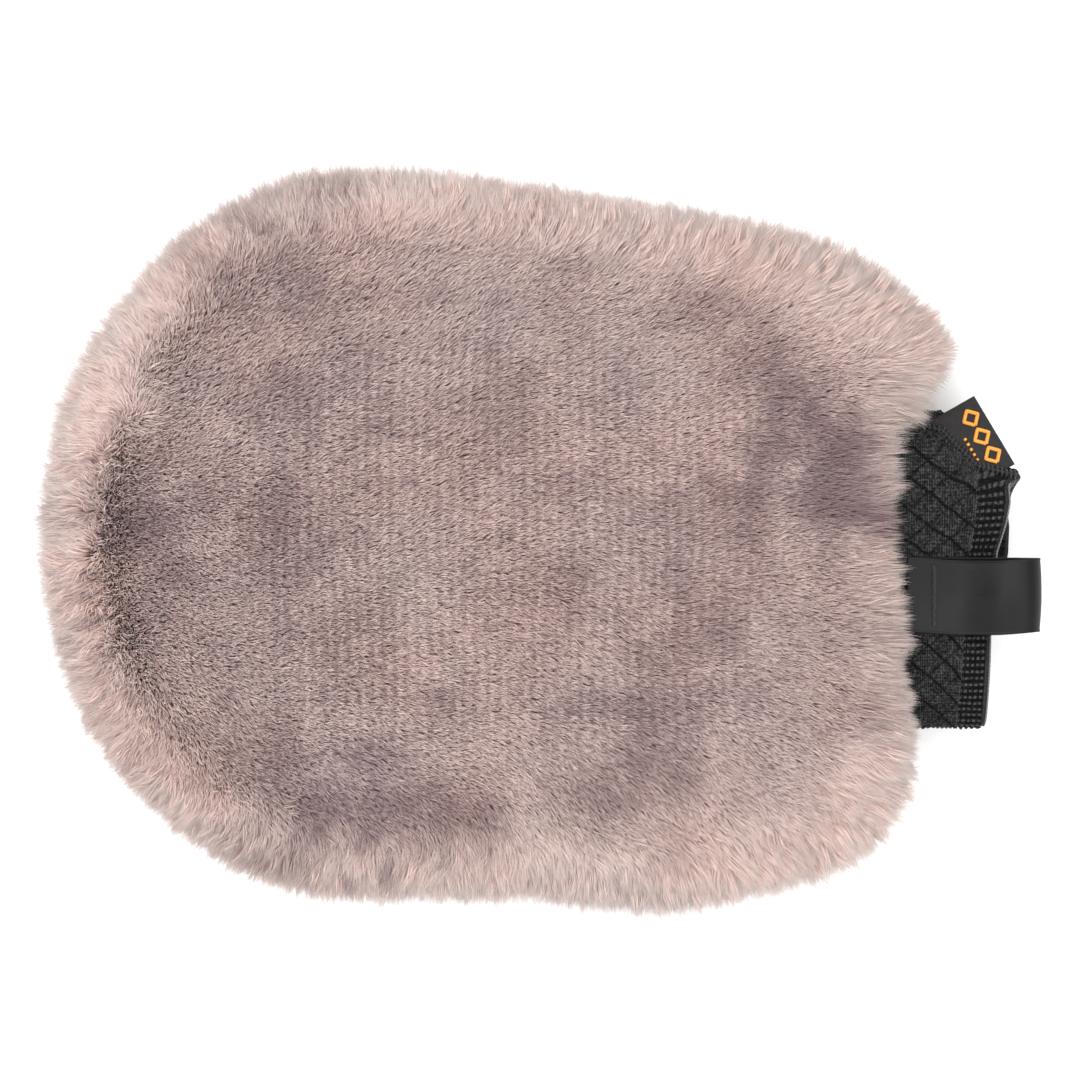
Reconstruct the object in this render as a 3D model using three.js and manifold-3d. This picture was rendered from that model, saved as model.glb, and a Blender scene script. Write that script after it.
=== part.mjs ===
// A plush wash mitt, lying flat: two deep-pile panels sewn round a lined hand pocket, a double knitted
// cuff with elastic threads, a woven ribbon hanging loop and a small woven label. Millimetres, +Z up,
// +X from the closed end towards the cuff. The origin is the bottom centre of the whole mitt.
import * as THREE from 'three';
import { LoftGeometry } from 'three/addons/geometries/LoftGeometry.js';
import { mergeVertices } from 'three/addons/utils/BufferGeometryUtils.js';
import Module from 'manifold-3d';

const wasm = await Module();
wasm.setup();

// Clearances
const GAP = 0.3; // between pieces that touch

// Plush body
const SEAM_Z = 21; // height of the plane where the two panels meet
const TOP_Z = 46; // highest pile tips
const ROLL = 26; // width of the rolled edge, from the pile tips inwards
const CROWN = 3; // how far the middle stands above the inner side of the rolled edge
const REST_SHARE = 0.72; // share of the outline that lies flat on the ground
const BODY_CENTRE = new THREE.Vector2(-10, 0);
const BODY_OUTLINE = [
  [-134, 0], [-128, 39], [-111, 66], [-86, 89], [-58, 98.5], [-28, 98], [0, 94], [28, 90.5], [56, 85.5],
  [84, 78], [103, 64], [111, 52], [107, 43], [98, 36], [96, 10], [97.5, -30], [98.5, -62], [91, -81],
  [73, -91], [35, -98], [-10, -95.5], [-64, -94], [-87, -85], [-107, -69], [-121, -51], [-130, -28],
];
const OUTLINE_STEPS = 60;
const ROLL_STEPS = 6;

// Hand pocket: [x, centre y, half width, half height] of its free space, from the closed end outwards
const POCKET = [
  [-99, 0, 34, 3], [-92, 0, 50, 4.4], [-76, 0, 61, 6.6], [-40, 0, 67, 8], [8, -2, 66, 8.4],
  [50, -5, 58, 8.6], [76, -7, 50, 8.6], [89, -7.4, 47, 8.6],
];
const POCKET_STEPS = 32;
const LINING = 1.2; // thickness of the lining cloth
const MOUTH_Y = -7.4; // middle of the mouth
const MOUTH_HALF = [50.5, 10.9]; // half width and half height of the slot in the plush
const LIP_X = 99; // where the plush ends and the cuff folds

// Seams
const SEAM_INSET = 0.9; // the plush seam, as a share of the outline
const SEAM_STRIP = [5, 2.2]; // width and thickness of the sewn edges inside
const SEAM_ENDS = [0.105, 0.895]; // where the seam stops at the mouth, as shares of the outline's length
const SEAM_STEPS = 40;
const LINING_SEAM = [3, 1.6]; // width and thickness of the lining's sewn edges
const TAPE_X = [89.4, 96.6]; // the binding tape round the mouth
const TAPE = 0.9;
const STITCH_X = 93;
const STITCH = 0.6;

// Cuff: [x, centre y, half width, half height, lean] of its outer face, from the mouth to its free end.
// The lean is how far x moves for each millimetre of y.
const CUFF = [
  [99.4, -7.4, 43.4, 7.5, 0], [104, -7.4, 43.4, 7.5, 0], [108, -7.4, 43.2, 7.5, 0.02],
  [115.1, -12.5, 38.2, 7.4, 0.08], [124, -17.6, 33.2, 7.2, 0.1],
];
const CUFF_STEPS = 40;
const KNIT = 0.9; // thickness of one knitted layer
const ELASTIC = 0.8; // thickness of the elastic threads
const ELASTIC_COUNT = 4;
const ELASTIC_PITCH = 2.2;
const EDGE_CORD = 0.8; // thickness of the cord along the cuff's free edge

// Hanging loop: a ribbon folded in two, lying along the top of the cuff
const RIBBON = 0.8; // thickness
const RIBBON_WIDTH = 20.8;
const LOOP_Y = -14.9;
const LOOP_X = [103, 133.8];
const LOOP_Z = SEAM_Z + 7.5 + GAP;
const LOOP_EYE = 7.4; // clear height of the open eye
const LOOP_NECK = 0.4; // clear height where the two layers meet
const LOOP_STEPS = 32;
const BARTACK = [2.4, 17, 0.6];

// Woven label, folded in two and caught askew in the cuff's side seam
const SIDE_SEAM = 1.6; // width and thickness of the seam along the cuff's slanting side
const LABEL = 0.9; // thickness
const LABEL_FROM = [111.4, 37]; // the end of its sewn edge nearest to the mouth
const LABEL_ANGLE = -47.5; // direction of the sewn edge, in degrees from +X
const LABEL_OUTLINE = [[0, 0], [22.5, 0], [22.5, 1.6], [2.2, 7.2]]; // along and away from that edge
const LABEL_STITCHES = [17, 0.7, 0.5];
const LABEL_STITCHES_IN = 1.6; // from the sewn edge to the middle of the stitches

const UP = new THREE.Vector3(0, 0, 1);
const LEFT = new THREE.Vector3(0, 1, 0);

const material = (color, roughness) => new THREE.MeshStandardMaterial({ color, roughness, metalness: 0 });
const COLOURS = {
  plush: 0xa8938f, lining: 0x8e8583, knit: 0x2d2d2d, elastic: 0x3a3a3a, ribbon: 0x3a393a, label: 0x2a2826,
  thread: 0x353232,
};

const group = new THREE.Group();
group.name = 'wash_mitt';

function piece(name, geometry, colour, roughness = 0.95) {
  const mesh = new THREE.Mesh(geometry, material(COLOURS[colour], roughness));
  mesh.name = name;
  group.add(mesh);
  return mesh;
}

// ---- solids, and cutting them -------------------------------------------------------------------

function toSolid(geometry) {
  const bare = new THREE.BufferGeometry();
  bare.setAttribute('position', geometry.getAttribute('position'));
  bare.setIndex(geometry.getIndex());
  const merged = mergeVertices(bare, 1e-4);
  return new wasm.Manifold(new wasm.Mesh({
    numProp: 3,
    vertProperties: new Float32Array(merged.attributes.position.array),
    triVerts: new Uint32Array(merged.index.array),
  }));
}

function toGeometry(solid) {
  const mesh = solid.getMesh();
  const geometry = new THREE.BufferGeometry();
  geometry.setAttribute('position', new THREE.BufferAttribute(mesh.vertProperties, 3));
  geometry.setIndex(new THREE.BufferAttribute(mesh.triVerts, 1));
  geometry.computeVertexNormals();
  return geometry;
}

function cut(geometry, ...tools) {
  return toGeometry(tools.reduce((solid, tool) => solid.subtract(toSolid(tool)), toSolid(geometry)));
}

// A block that fills everything above or below the seam plane, short of it by half a gap.
function halfSpace(up) {
  const side = 400;
  const block = new THREE.BoxGeometry(side, side, side);
  const away = up ? 1 : -1;
  block.translate(0, 0, SEAM_Z + away * (side / 2 + GAP / 2));
  return block;
}

// ---- shared outlines ----------------------------------------------------------------------------

const outlineCurve = new THREE.CatmullRomCurve3(
  BODY_OUTLINE.map(([x, y]) => new THREE.Vector3(x, y, 0)), true, 'centripetal');

// A point of the outline drawn in towards the body's centre and lifted to z.
function drawnIn(point, share, z) {
  const flat = new THREE.Vector2(point.x, point.y).sub(BODY_CENTRE).multiplyScalar(share).add(BODY_CENTRE);
  return new THREE.Vector3(flat.x, flat.y, z);
}

// The whole outline drawn in, counterclockwise from above.
function bodyRing(share, z) {
  const points = outlineCurve.getSpacedPoints(OUTLINE_STEPS).slice(0, OUTLINE_STEPS).reverse();
  return points.map((point) => drawnIn(point, share, z));
}

// A path in a level plane moved to the left of its own direction.
function movedOut(points, distance) {
  const last = points.length - 1;
  return points.map((point, i) => {
    const ahead = points[Math.min(i + 1, last)].clone().sub(points[Math.max(i - 1, 0)]).normalize();
    return point.clone().addScaledVector(new THREE.Vector3(-ahead.y, ahead.x, 0), distance);
  });
}

// A band with a rectangular section that follows points lying in the plane across the given axis: thick
// in that plane and wide along the axis. All its faces can be moved out by grow.
function band(points, axis, thick, wide, grow = 0) {
  const last = points.length - 1;
  const sections = points.map((point, i) => {
    const ahead = points[Math.min(i + 1, last)].clone().sub(points[Math.max(i - 1, 0)]).normalize();
    const across = new THREE.Vector3().crossVectors(axis, ahead);
    const end = (i === 0 ? -grow : 0) + (i === last ? grow : 0);
    return [[1, 1], [-1, 1], [-1, -1], [1, -1]].map(([a, b]) => point.clone()
      .addScaledVector(ahead, end)
      .addScaledVector(across, a * (thick / 2 + grow))
      .addScaledVector(axis, b * (wide / 2 + grow)));
  });
  return new LoftGeometry(sections, { capStart: true, capEnd: true });
}

// A flattened tube's section across X: a squarish oval, leaning by lean millimetres of x for each of y.
function oval(x, centreY, halfWidth, halfHeight, steps, lean = 0) {
  const squareness = 0.72;
  const bend = (v) => Math.sign(v) * Math.abs(v) ** squareness;
  return Array.from({ length: steps }, (_, i) => {
    const angle = (i / steps) * 2 * Math.PI;
    const y = bend(Math.cos(angle)) * halfWidth;
    return new THREE.Vector3(x + lean * y, centreY + y, SEAM_Z + bend(Math.sin(angle)) * halfHeight);
  });
}

// ---- plush panels -------------------------------------------------------------------------------

// Half of the body, from the seam plane up to the crown or down to the flat that it lies on.
function panelDome(up) {
  const height = up ? TOP_Z - SEAM_Z - CROWN : SEAM_Z;
  const sign = up ? 1 : -1;
  const foot = SEAM_Z + sign * (GAP / 2);
  const innerShare = up ? 1 - ROLL / 110 : REST_SHARE;
  const rings = [];
  for (let i = 0; i <= ROLL_STEPS; i += 1) {
    const angle = (i / ROLL_STEPS) * (Math.PI / 2);
    const share = innerShare + (1 - innerShare) * Math.cos(angle) ** 0.8;
    rings.push(bodyRing(share, i ? SEAM_Z + sign * height * Math.sin(angle) ** 0.8 : foot));
  }
  if (up) {
    for (const share of [0.5, 0.2]) {
      const rise = CROWN * (1 - (share / innerShare) ** 2);
      rings.push(bodyRing(share, SEAM_Z + height + rise));
    }
  }
  return new LoftGeometry(up ? rings : rings.reverse(), { capStart: true, capEnd: true });
}

// The pocket's space, grown all round by the given thickness.
function pocketSpace(grow, extra = 0) {
  const stations = POCKET.map(([x, y, w, h], i) => {
    const shift = i === 0 ? -grow : 0;
    const reach = i === POCKET.length - 1 ? extra : 0;
    return oval(x + shift + reach, y, w + grow, h + grow, POCKET_STEPS);
  });
  return new LoftGeometry(stations, { capStart: true, capEnd: true });
}

function mouthSlot() {
  const [w, h] = MOUTH_HALF;
  const stations = [TAPE_X[0] - GAP - 1, LIP_X + 16].map((x) => oval(x, MOUTH_Y, w, h, CUFF_STEPS));
  return new LoftGeometry(stations, { capStart: true, capEnd: true });
}

// The plush seam runs along the body's outline, drawn in towards its centre, from one corner of the mouth
// round to the other.
function plushSeam(grow = 0) {
  const path = Array.from({ length: SEAM_STEPS + 1 }, (_, i) => {
    const along = SEAM_START + THREE.MathUtils.lerp(...SEAM_ENDS, i / SEAM_STEPS);
    return drawnIn(outlineCurve.getPointAt(along % 1), SEAM_INSET, SEAM_Z);
  });
  return band(path, UP, ...SEAM_STRIP, grow);
}

// The lining's seam runs just outside the lining, round the same three sides of the pocket.
function liningSeam(grow = 0) {
  const inside = POCKET.slice(0, -1);
  const sides = [1, -1].map((side) => inside.map(([x, y, w]) => new THREE.Vector3(x, y + side * w, SEAM_Z)));
  const edge = [...sides[1].reverse(), ...sides[0]];
  const path = movedOut(edge, LINING + GAP + LINING_SEAM[0] / 2);
  const curve = new THREE.CatmullRomCurve3(path, false, 'centripetal');
  return band(curve.getSpacedPoints(SEAM_STEPS), UP, ...LINING_SEAM, grow);
}

// Share of the outline's length, from its first point, at which the middle of the mouth lies.
function mouthShare() {
  const steps = 400;
  let best = 0;
  let nearest = Infinity;
  for (let i = 0; i < steps; i += 1) {
    const p = outlineCurve.getPointAt(i / steps);
    const away = Math.hypot(p.x - LIP_X, p.y - MOUTH_Y);
    if (away < nearest) {
      nearest = away;
      best = i / steps;
    }
  }
  return best;
}
const SEAM_START = mouthShare();

for (const [name, up] of [['top', true], ['bottom', false]]) {
  const tools = [
    pocketSpace(LINING + GAP, 1),
    mouthSlot(),
    plushSeam(GAP),
    liningSeam(GAP),
  ];
  piece(`${name}_plush_panel`, cut(panelDome(up), ...tools), 'plush');

  const cloth = toSolid(pocketSpace(LINING)).subtract(toSolid(pocketSpace(0, 1)));
  piece(`${name}_lining_panel`, toGeometry(cloth.intersect(toSolid(halfSpace(up)))), 'lining');
}
piece('plush_seam_allowance', plushSeam(), 'lining');
piece('lining_seam_allowance', liningSeam(), 'lining');

// ---- bands round the mouth and the cuff ---------------------------------------------------------

// A closed band round the mouth: outer and inner walls between two x stations.
function mouthBand([from, to], outer, thickness) {
  const ring = (x, inset) =>
    oval(x, MOUTH_Y, MOUTH_HALF[0] - inset, MOUTH_HALF[1] - inset, CUFF_STEPS);
  const first = ring(from, outer);
  return new LoftGeometry(
    [first, ring(to, outer), ring(to, outer + thickness), ring(from, outer + thickness), first]);
}

const tape = mouthBand(TAPE_X, GAP, TAPE);
piece('mouth_binding_tape', tape, 'thread');
piece('mouth_stitching', mouthBand([STITCH_X, STITCH_X + STITCH], 2 * GAP + TAPE, STITCH), 'thread');

// The cuff's section at a share of its length, moved in from its outer face.
function cuffRing(share, inset) {
  const at = share * (CUFF.length - 1);
  const i = Math.min(Math.floor(at), CUFF.length - 2);
  const [x, y, w, h, lean] = CUFF[i].map((value, k) => THREE.MathUtils.lerp(value, CUFF[i + 1][k], at - i));
  return oval(x, y, w - inset, h - inset, CUFF_STEPS, lean);
}

// A closed tube following the cuff between two shares of its length, as thick as given.
function cuffTube(from, to, inset, thickness) {
  const last = CUFF.length - 1;
  const inner = CUFF.map((_, i) => i / last).filter((share) => share > from && share < to);
  const shares = [from, ...inner, to];
  const outerRings = shares.map((share) => cuffRing(share, inset));
  const innerRings = shares.reverse().map((share) => cuffRing(share, inset + thickness));
  return new LoftGeometry([...outerRings, ...innerRings, outerRings[0]]);
}

const LAST_SPAN = CUFF.at(-1)[0] - CUFF.at(-2)[0];
// Share of the cuff's stations at a distance back from its free end, within the last span.
const fromEnd = (distance) => 1 - distance / LAST_SPAN / (CUFF.length - 1);
const CORD_SPACE = EDGE_CORD + GAP;
const INNER_INSET = KNIT + 2 * GAP + ELASTIC;
const CUFF_WALL = INNER_INSET + KNIT;
const CORD_INSET = 0.2; // how far the edge cord lies inside the cuff's faces

piece('cuff_outer_knit', cuffTube(0, fromEnd(CORD_SPACE), 0, KNIT), 'knit');
piece('cuff_inner_knit', cuffTube(0, fromEnd(CORD_SPACE), INNER_INSET, KNIT), 'knit');
for (let i = 0; i < ELASTIC_COUNT; i += 1) {
  const far = CORD_SPACE + i * ELASTIC_PITCH;
  const threadRing = cuffTube(fromEnd(far + ELASTIC), fromEnd(far), KNIT + GAP, ELASTIC);
  piece(`elastic_thread_${i + 1}`, threadRing, 'elastic', 0.7);
}
const edgeCord = cuffTube(fromEnd(EDGE_CORD), 1, CORD_INSET, CUFF_WALL - 2 * CORD_INSET);
piece('cuff_edge_cord', edgeCord, 'elastic', 0.7);

// ---- side seam and label ------------------------------------------------------------------------

// The cuff's slanting side at the seam plane, moved out by half the seam's width and the gap.
const edge = [0.1, 0.25, 0.5, 0.75, fromEnd(CORD_SPACE)].map((share) => cuffRing(share, 0)[0]);
const sidePath = movedOut(edge, GAP + SIDE_SEAM / 2);
piece('cuff_side_seam', band(sidePath, UP, SIDE_SEAM, SIDE_SEAM), 'thread');

const labelGroup = new THREE.Group();
labelGroup.position.set(...LABEL_FROM, SEAM_Z - LABEL / 2);
labelGroup.rotation.z = THREE.MathUtils.degToRad(LABEL_ANGLE);
group.add(labelGroup);

const labelShape = new THREE.Shape(LABEL_OUTLINE.map(([x, y]) => new THREE.Vector2(x, y)));
const labelCloth = new THREE.ExtrudeGeometry(labelShape, { depth: LABEL, bevelEnabled: false });
labelGroup.add(piece('woven_label', labelCloth, 'label', 0.8));
const labelThread = new THREE.BoxGeometry(...LABEL_STITCHES);
labelThread.translate(LABEL_OUTLINE[1][0] / 2, LABEL_STITCHES_IN, LABEL + GAP + LABEL_STITCHES[2] / 2);
labelGroup.add(piece('label_stitching', labelThread, 'thread'));

// ---- hanging loop -------------------------------------------------------------------------------

// The ribbon's middle line: out along the cuff, round the fold and back, in height above LOOP_Z.
function loopPath() {
  const [root, fold] = LOOP_X;
  const bottom = RIBBON / 2;
  const neck = bottom + RIBBON + LOOP_NECK;
  const top = bottom + RIBBON + LOOP_EYE;
  const curve = new THREE.CatmullRomCurve3([
    [root, bottom], [root + 10, bottom], [fold - 11, bottom], [fold - 4, bottom + 0.8],
    [fold - RIBBON / 2, (bottom + top) / 2], [fold - 4, top - 0.4], [fold - 10, top - 0.5],
    [root + 9, neck + 0.7], [root, neck],
  ].map(([x, z]) => new THREE.Vector3(x, LOOP_Y, LOOP_Z + z)), false, 'centripetal');
  return curve.getSpacedPoints(LOOP_STEPS);
}
piece('hanging_loop', band(loopPath(), LEFT, RIBBON, RIBBON_WIDTH), 'ribbon', 0.55);

const tack = new THREE.BoxGeometry(...BARTACK);
const tackZ = LOOP_Z + 2 * RIBBON + LOOP_NECK + GAP + BARTACK[2] / 2;
tack.translate(LOOP_X[0] + BARTACK[0], LOOP_Y, tackZ);
piece('loop_bartack', tack, 'thread');

// The origin goes to the bottom centre of the whole mitt.
const box = new THREE.Box3().setFromObject(group, true);
const middle = box.getCenter(new THREE.Vector3());
group.position.set(-middle.x, -middle.y, -box.min.z);

export default group;
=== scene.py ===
import math

import bpy
import numpy as np
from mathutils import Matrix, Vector


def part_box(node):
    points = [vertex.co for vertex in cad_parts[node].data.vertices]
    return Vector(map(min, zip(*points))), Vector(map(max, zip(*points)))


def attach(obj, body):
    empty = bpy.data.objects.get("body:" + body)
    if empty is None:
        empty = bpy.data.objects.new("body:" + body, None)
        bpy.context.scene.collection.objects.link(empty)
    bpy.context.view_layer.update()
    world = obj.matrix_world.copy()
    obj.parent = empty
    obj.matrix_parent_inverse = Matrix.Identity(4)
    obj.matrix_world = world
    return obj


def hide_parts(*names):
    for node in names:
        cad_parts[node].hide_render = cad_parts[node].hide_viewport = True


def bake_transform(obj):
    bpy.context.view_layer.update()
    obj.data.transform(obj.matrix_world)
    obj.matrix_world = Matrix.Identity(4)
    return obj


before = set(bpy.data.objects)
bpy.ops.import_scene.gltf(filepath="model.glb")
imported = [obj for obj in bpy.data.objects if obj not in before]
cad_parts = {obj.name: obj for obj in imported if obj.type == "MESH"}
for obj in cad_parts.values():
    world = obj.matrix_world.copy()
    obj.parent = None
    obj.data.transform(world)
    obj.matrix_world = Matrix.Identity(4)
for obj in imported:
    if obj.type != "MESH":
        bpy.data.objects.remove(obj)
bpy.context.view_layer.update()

# A plush wash mitt lying flat. All sizes are in metres, in the frame of the CAD model.
MM = 0.001

# ---- driving sizes ------------------------------------------------------------------------------

# The pile tips' outline from above, clockwise from the closed end, before it is moved onto the CAD body
BODY_OUTLINE = MM * np.array([
    [-134, 0], [-128, 39], [-111, 66], [-86, 89], [-58, 98.5], [-28, 98], [0, 93.4], [28, 89.8],
    [56, 84], [82.4, 76.2], [101, 62.6], [110.4, 51.5], [105, 43.5], [97, 36], [96, 10], [97.5, -30],
    [98.5, -62], [90.4, -80.4], [72.5, -90.3], [35, -98], [-10, -95.2], [-64, -93.4], [-87, -85],
    [-107, -69], [-121, -51], [-130, -28],
])
BODY_CENTRE = MM * np.array([-10.0, 0.0])
SEAM_Z = (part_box("top_plush_panel")[0].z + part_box("bottom_plush_panel")[1].z) / 2
TOP_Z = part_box("top_plush_panel")[1].z
ROLL_SHARE = 26 / 110  # the rolled edge, as a share of the way in from the tips to the centre
CROWN = 3 * MM  # how much higher the middle of the top is than the start of the rolled edge
REST_SHARE = 0.72  # the share of the outline that lies on the floor
PARTING_SHARE = 0.91  # where the pile parts along the closed end
RIM_GAP_Y = 34 * MM  # the combed rim is as wide here at the closed end as along the sides
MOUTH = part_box("mouth_binding_tape")
MOUTH_Y = (MOUTH[0].y + MOUTH[1].y) / 2
MOUTH_HALF_Y = (MOUTH[1].y - MOUTH[0].y) / 2
# Where the pile ends over the cuff: [across the mitt, along it]
FRINGE = MM * np.array([
    [-60, 100], [-52, 101], [-45, 101], [-39, 99.2], [-34, 97.2], [-29, 101.5], [-23, 99.8], [-4, 97.8],
    [4, 97.4], [9.5, 96.4], [17, 100.6], [22, 99.6], [29, 104.4], [36, 107.2], [42, 107.2],
])

AROUND = 720  # steps round the body's surface grid
DOWN = 300  # steps from the middle of the top, over the edge, to the middle of the underside
FINE = 314  # the scale of a wave texture whose bands are 1 mm apart; over a pitch in mm, that pitch


# ---- numbers that look random but always come out the same ----------------------------------------

def smooth(edge0, edge1, x):
    t = np.clip((x - edge0) / (edge1 - edge0), 0, 1)
    return t * t * (3 - 2 * t)


def hashed(cells, seed):
    """A number from 0 to 1 for each row of whole numbers."""
    mixed = np.full(cells.shape[:-1], seed * 374761393 + 97531, np.uint64)
    for k, factor in zip(range(cells.shape[-1]), (73856093, 19349663, 83492791)):
        mixed = mixed ^ (cells[..., k].astype(np.int64).astype(np.uint64) * np.uint64(factor))
        mixed = mixed * np.uint64(6364136223846793005) + np.uint64(1442695040888963407)
        mixed = mixed ^ (mixed >> np.uint64(29))
    return (mixed >> np.uint64(40)).astype(float) / float(1 << 24)


def noise(points, size, seed):
    """Soft value noise from -1 to 1 with lumps of the given size."""
    scaled = points / size
    low = np.floor(scaled)
    part = scaled - low
    part = part * part * (3 - 2 * part)
    total = np.zeros(points.shape[:-1])
    dims = points.shape[-1]
    for corner in range(1 << dims):
        step = np.array([(corner >> k) & 1 for k in range(dims)])
        weight = np.prod(np.where(step, part, 1 - part), axis=-1)
        total += weight * hashed(low + step, seed)
    return total * 2 - 1


def clump_sites(points, size, seed):
    """For each point the nearest of a jittered lattice of sites, and a whole-number key for it."""
    low = np.floor(points / size)
    best = np.full(len(points), np.inf)
    site = np.zeros_like(points)
    cell = np.zeros_like(points)
    for step in np.ndindex(3, 3, 3):
        there = low + np.array(step) - 1
        jitter = np.stack([hashed(there, seed + k) for k in range(3)], -1)
        spot = (there + jitter) * size
        away = ((spot - points) ** 2).sum(-1)
        nearer = away < best
        best[nearer] = away[nearer]
        site[nearer] = spot[nearer]
        cell[nearer] = there[nearer]
    return site, cell


# ---- the body's surface ---------------------------------------------------------------------------

def curve_span(p, count):
    """The middle span of a centripetal Catmull-Rom curve through four points, without its end."""
    t = np.concatenate([[0], np.cumsum(np.linalg.norm(np.diff(p, axis=0), axis=1) ** 0.5)])
    u = np.linspace(t[1], t[2], count, endpoint=False)[:, None]
    a = [(t[k + 1] - u) / (t[k + 1] - t[k]) * p[k] + (u - t[k]) / (t[k + 1] - t[k]) * p[k + 1]
         for k in range(3)]
    b = [(t[k + 2] - u) / (t[k + 2] - t[k]) * a[k] + (u - t[k]) / (t[k + 2] - t[k]) * a[k + 1]
         for k in range(2)]
    return (t[2] - u) / (t[2] - t[1]) * b[0] + (u - t[1]) / (t[2] - t[1]) * b[1]


def closed_curve(points, count):
    """A closed curve of at least this many points through the given ones."""
    n = len(points)
    spans = [curve_span(points[np.arange(i - 1, i + 3) % n], count // n + 1) for i in range(n)]
    return np.concatenate(spans)


def path_length(path):
    """How far along a path each of its points is."""
    return np.concatenate([[0], np.cumsum(np.linalg.norm(np.diff(path, axis=0), axis=1))])


def resampled(path, places):
    """Points at the given distances along a path."""
    run = path_length(path)
    return np.stack([np.interp(places, run, values) for values in path.T], -1)


def open_curve(points, per_span):
    """A curve through the points, ends included."""
    points = np.concatenate([[2 * points[0] - points[1]], points, [2 * points[-1] - points[-2]]])
    spans = [curve_span(points[i - 1:i + 3], per_span) for i in range(1, len(points) - 2)]
    return np.concatenate([*spans, points[-2:-1]])


def radii(angles):
    """How far the outline is from the body's centre in each direction."""
    curve = closed_curve(BODY_OUTLINE, 1600) - BODY_CENTRE
    at = np.arctan2(curve[:, 1], curve[:, 0])
    order = np.argsort(at)
    return np.interp(angles, at[order], np.hypot(*curve.T)[order], period=2 * math.pi)


outline_now = closed_curve(BODY_OUTLINE, 1600)
plush_low, plush_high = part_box("top_plush_panel")
SHIFT = np.array([
    (plush_low.x + plush_high.x) / 2 - (outline_now[:, 0].min() + outline_now[:, 0].max()) / 2,
    (plush_low.y + plush_high.y) / 2 - (outline_now[:, 1].min() + outline_now[:, 1].max()) / 2,
])
CENTRE = BODY_CENTRE + SHIFT


def meridian():
    """Share of the outline and height, from the middle of the top over the edge to the middle below."""
    inner = 1 - ROLL_SHARE
    height = TOP_Z - SEAM_Z - CROWN
    crown = np.linspace(0, inner, 60, endpoint=False)
    roll = np.linspace(math.pi / 2, 0, 80, endpoint=False)
    under = np.linspace(0, math.pi / 2, 80, endpoint=False)
    flat = np.linspace(REST_SHARE, 0, 60)
    share = np.concatenate([
        crown,
        inner + (1 - inner) * np.cos(roll) ** 0.8,
        REST_SHARE + (1 - REST_SHARE) * np.cos(under) ** 0.8,
        flat,
    ])
    z = np.concatenate([
        SEAM_Z + height + CROWN * (1 - (crown / inner) ** 2),
        SEAM_Z + height * np.sin(roll) ** 0.8,
        SEAM_Z * (1 - np.sin(under) ** 0.8),
        np.zeros(60),
    ])
    typical_radius = 0.11
    length = np.concatenate([[0], np.cumsum(np.hypot(np.diff(share) * typical_radius, np.diff(z)))])
    even = np.linspace(0, length[-1], DOWN + 1)
    return np.interp(even, length, share), np.interp(even, length, z)


# Hollows of the pile's surface, where it was pressed or stroked: [x, y, radius, depth, 1000 x painted shade]
HOLLOWS = MM * np.array([
    [-106, 5, 16, 1.4, 1000], [-98, -8, 10, 0.9, 700], [-88, 8, 12, 0.6, 450], [64, 38, 14, 1.0, 1000],
    [63, 25, 14, 1.3, 1200], [73, 27, 14, 1.4, 1350], [68, 31, 12, 1.2, 1300],
    [75, 18, 12, 1.3, 1300], [66, 10, 14, 1.1, 1200], [76, 7, 15, 1.6, 1900],
    [85, 1, 11, 1.2, 1200], [73, -4, 11, 0.9, 800], [52, 8, 14, 0.7, 850], [21, 8, 12, 0.4, 300],
    [0, 6, 12, 0.4, 280], [36, 8, 14, 0.5, 280], [58, 48, 15, 0.7, 620], [38, -14, 13, 0.6, 480],
    [41, -27, 13, 0.7, 620], [39, -40, 12, 0.6, 480], [-28, -74, 15, 1.4, 640], [-42, -70, 9, 1.0, 600],
    [-54, -71, 12, 1.2, 900], [-62, -80, 12, 0.8, 750], [-76, -79, 12, 0.5, 680], [-46, -57, 12, 0.8, 620],
    [-24, -48, 13, 0.6, 420], [10, -42, 12, 0.6, 450], [28, -46, 13, 1.5, 900], [14, -66, 13, 1.4, 900],
    [26, -60, 14, 1.0, 900], [43, 58, 13, 1.2, 550], [-10, 36, 15, 0.8, 420], [-22, 50, 12, 0.5, 450],
    [-69, 8, 13, 0.7, 520], [-66, -4, 13, 0.5, 480], [-57, -26, 13, 0.5, 460], [-66, 34, 15, 0.6, 520],
    [-64, 62, 12, 0.6, 450], [-76, 80, 15, 0.4, 760], [-58, 84, 13, 0.3, 680], [-86, 70, 13, 0.4, 700],
    [60, -8, 11, 0.6, 500], [-70, -62, 14, 0.6, 450], [0, -10, 17, 0.5, 350], [31, -30, 9, 0.8, 500],
    # Small creases between the tufts, with painted shade in them: at the closed end, along the lower rim and
    # beside the cuff
    [-118.5, -9, 3, 0.8, 900], [-120, -14, 3, 0.8, 800], [-123.5, 9, 3, 0.8, 800],
    [-118, -21, 3.5, 0.8, 800], [-121, 20, 3.5, 0.8, 800], [-115, 1, 3, 0.5, 500], [-59, -76, 4, 0.8, 800], [-52, -86, 4, 1.2, 1100],
    [-40.6, -84, 4, 1.0, 900], [-46.7, -77.5, 4, 0.8, 800], [-17, -73, 8, 0.6, 800],
    [86.7, 30.5, 3, 0.8, 900], [70.5, 43.5, 3.5, 0.6, 700], [81, 34, 3, 0.6, 600], [66, 21, 4, 0.8, 900],
    [80, 7.5, 4, 1.0, 1100],
])


def hollow_field(x, y, column):
    """Depth (0) or painted shade (1) of the pressed pile: the root of squares of hollows that fade outwards.
    """
    total = np.zeros_like(x)
    flat = np.stack([x, y], -1)
    warp = 0.28 * noise(flat, 13 * MM, 61) + 0.22 * noise(flat, 5 * MM, 62)
    for hx, hy, radius, *rest in HOLLOWS:
        away = np.hypot(x - hx, (y - hy) * 1.25) / radius + warp
        total += (rest[column] * (1 - smooth(0.0, 1.3, away))) ** 2
    return 0.9 * np.sqrt(total)


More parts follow.
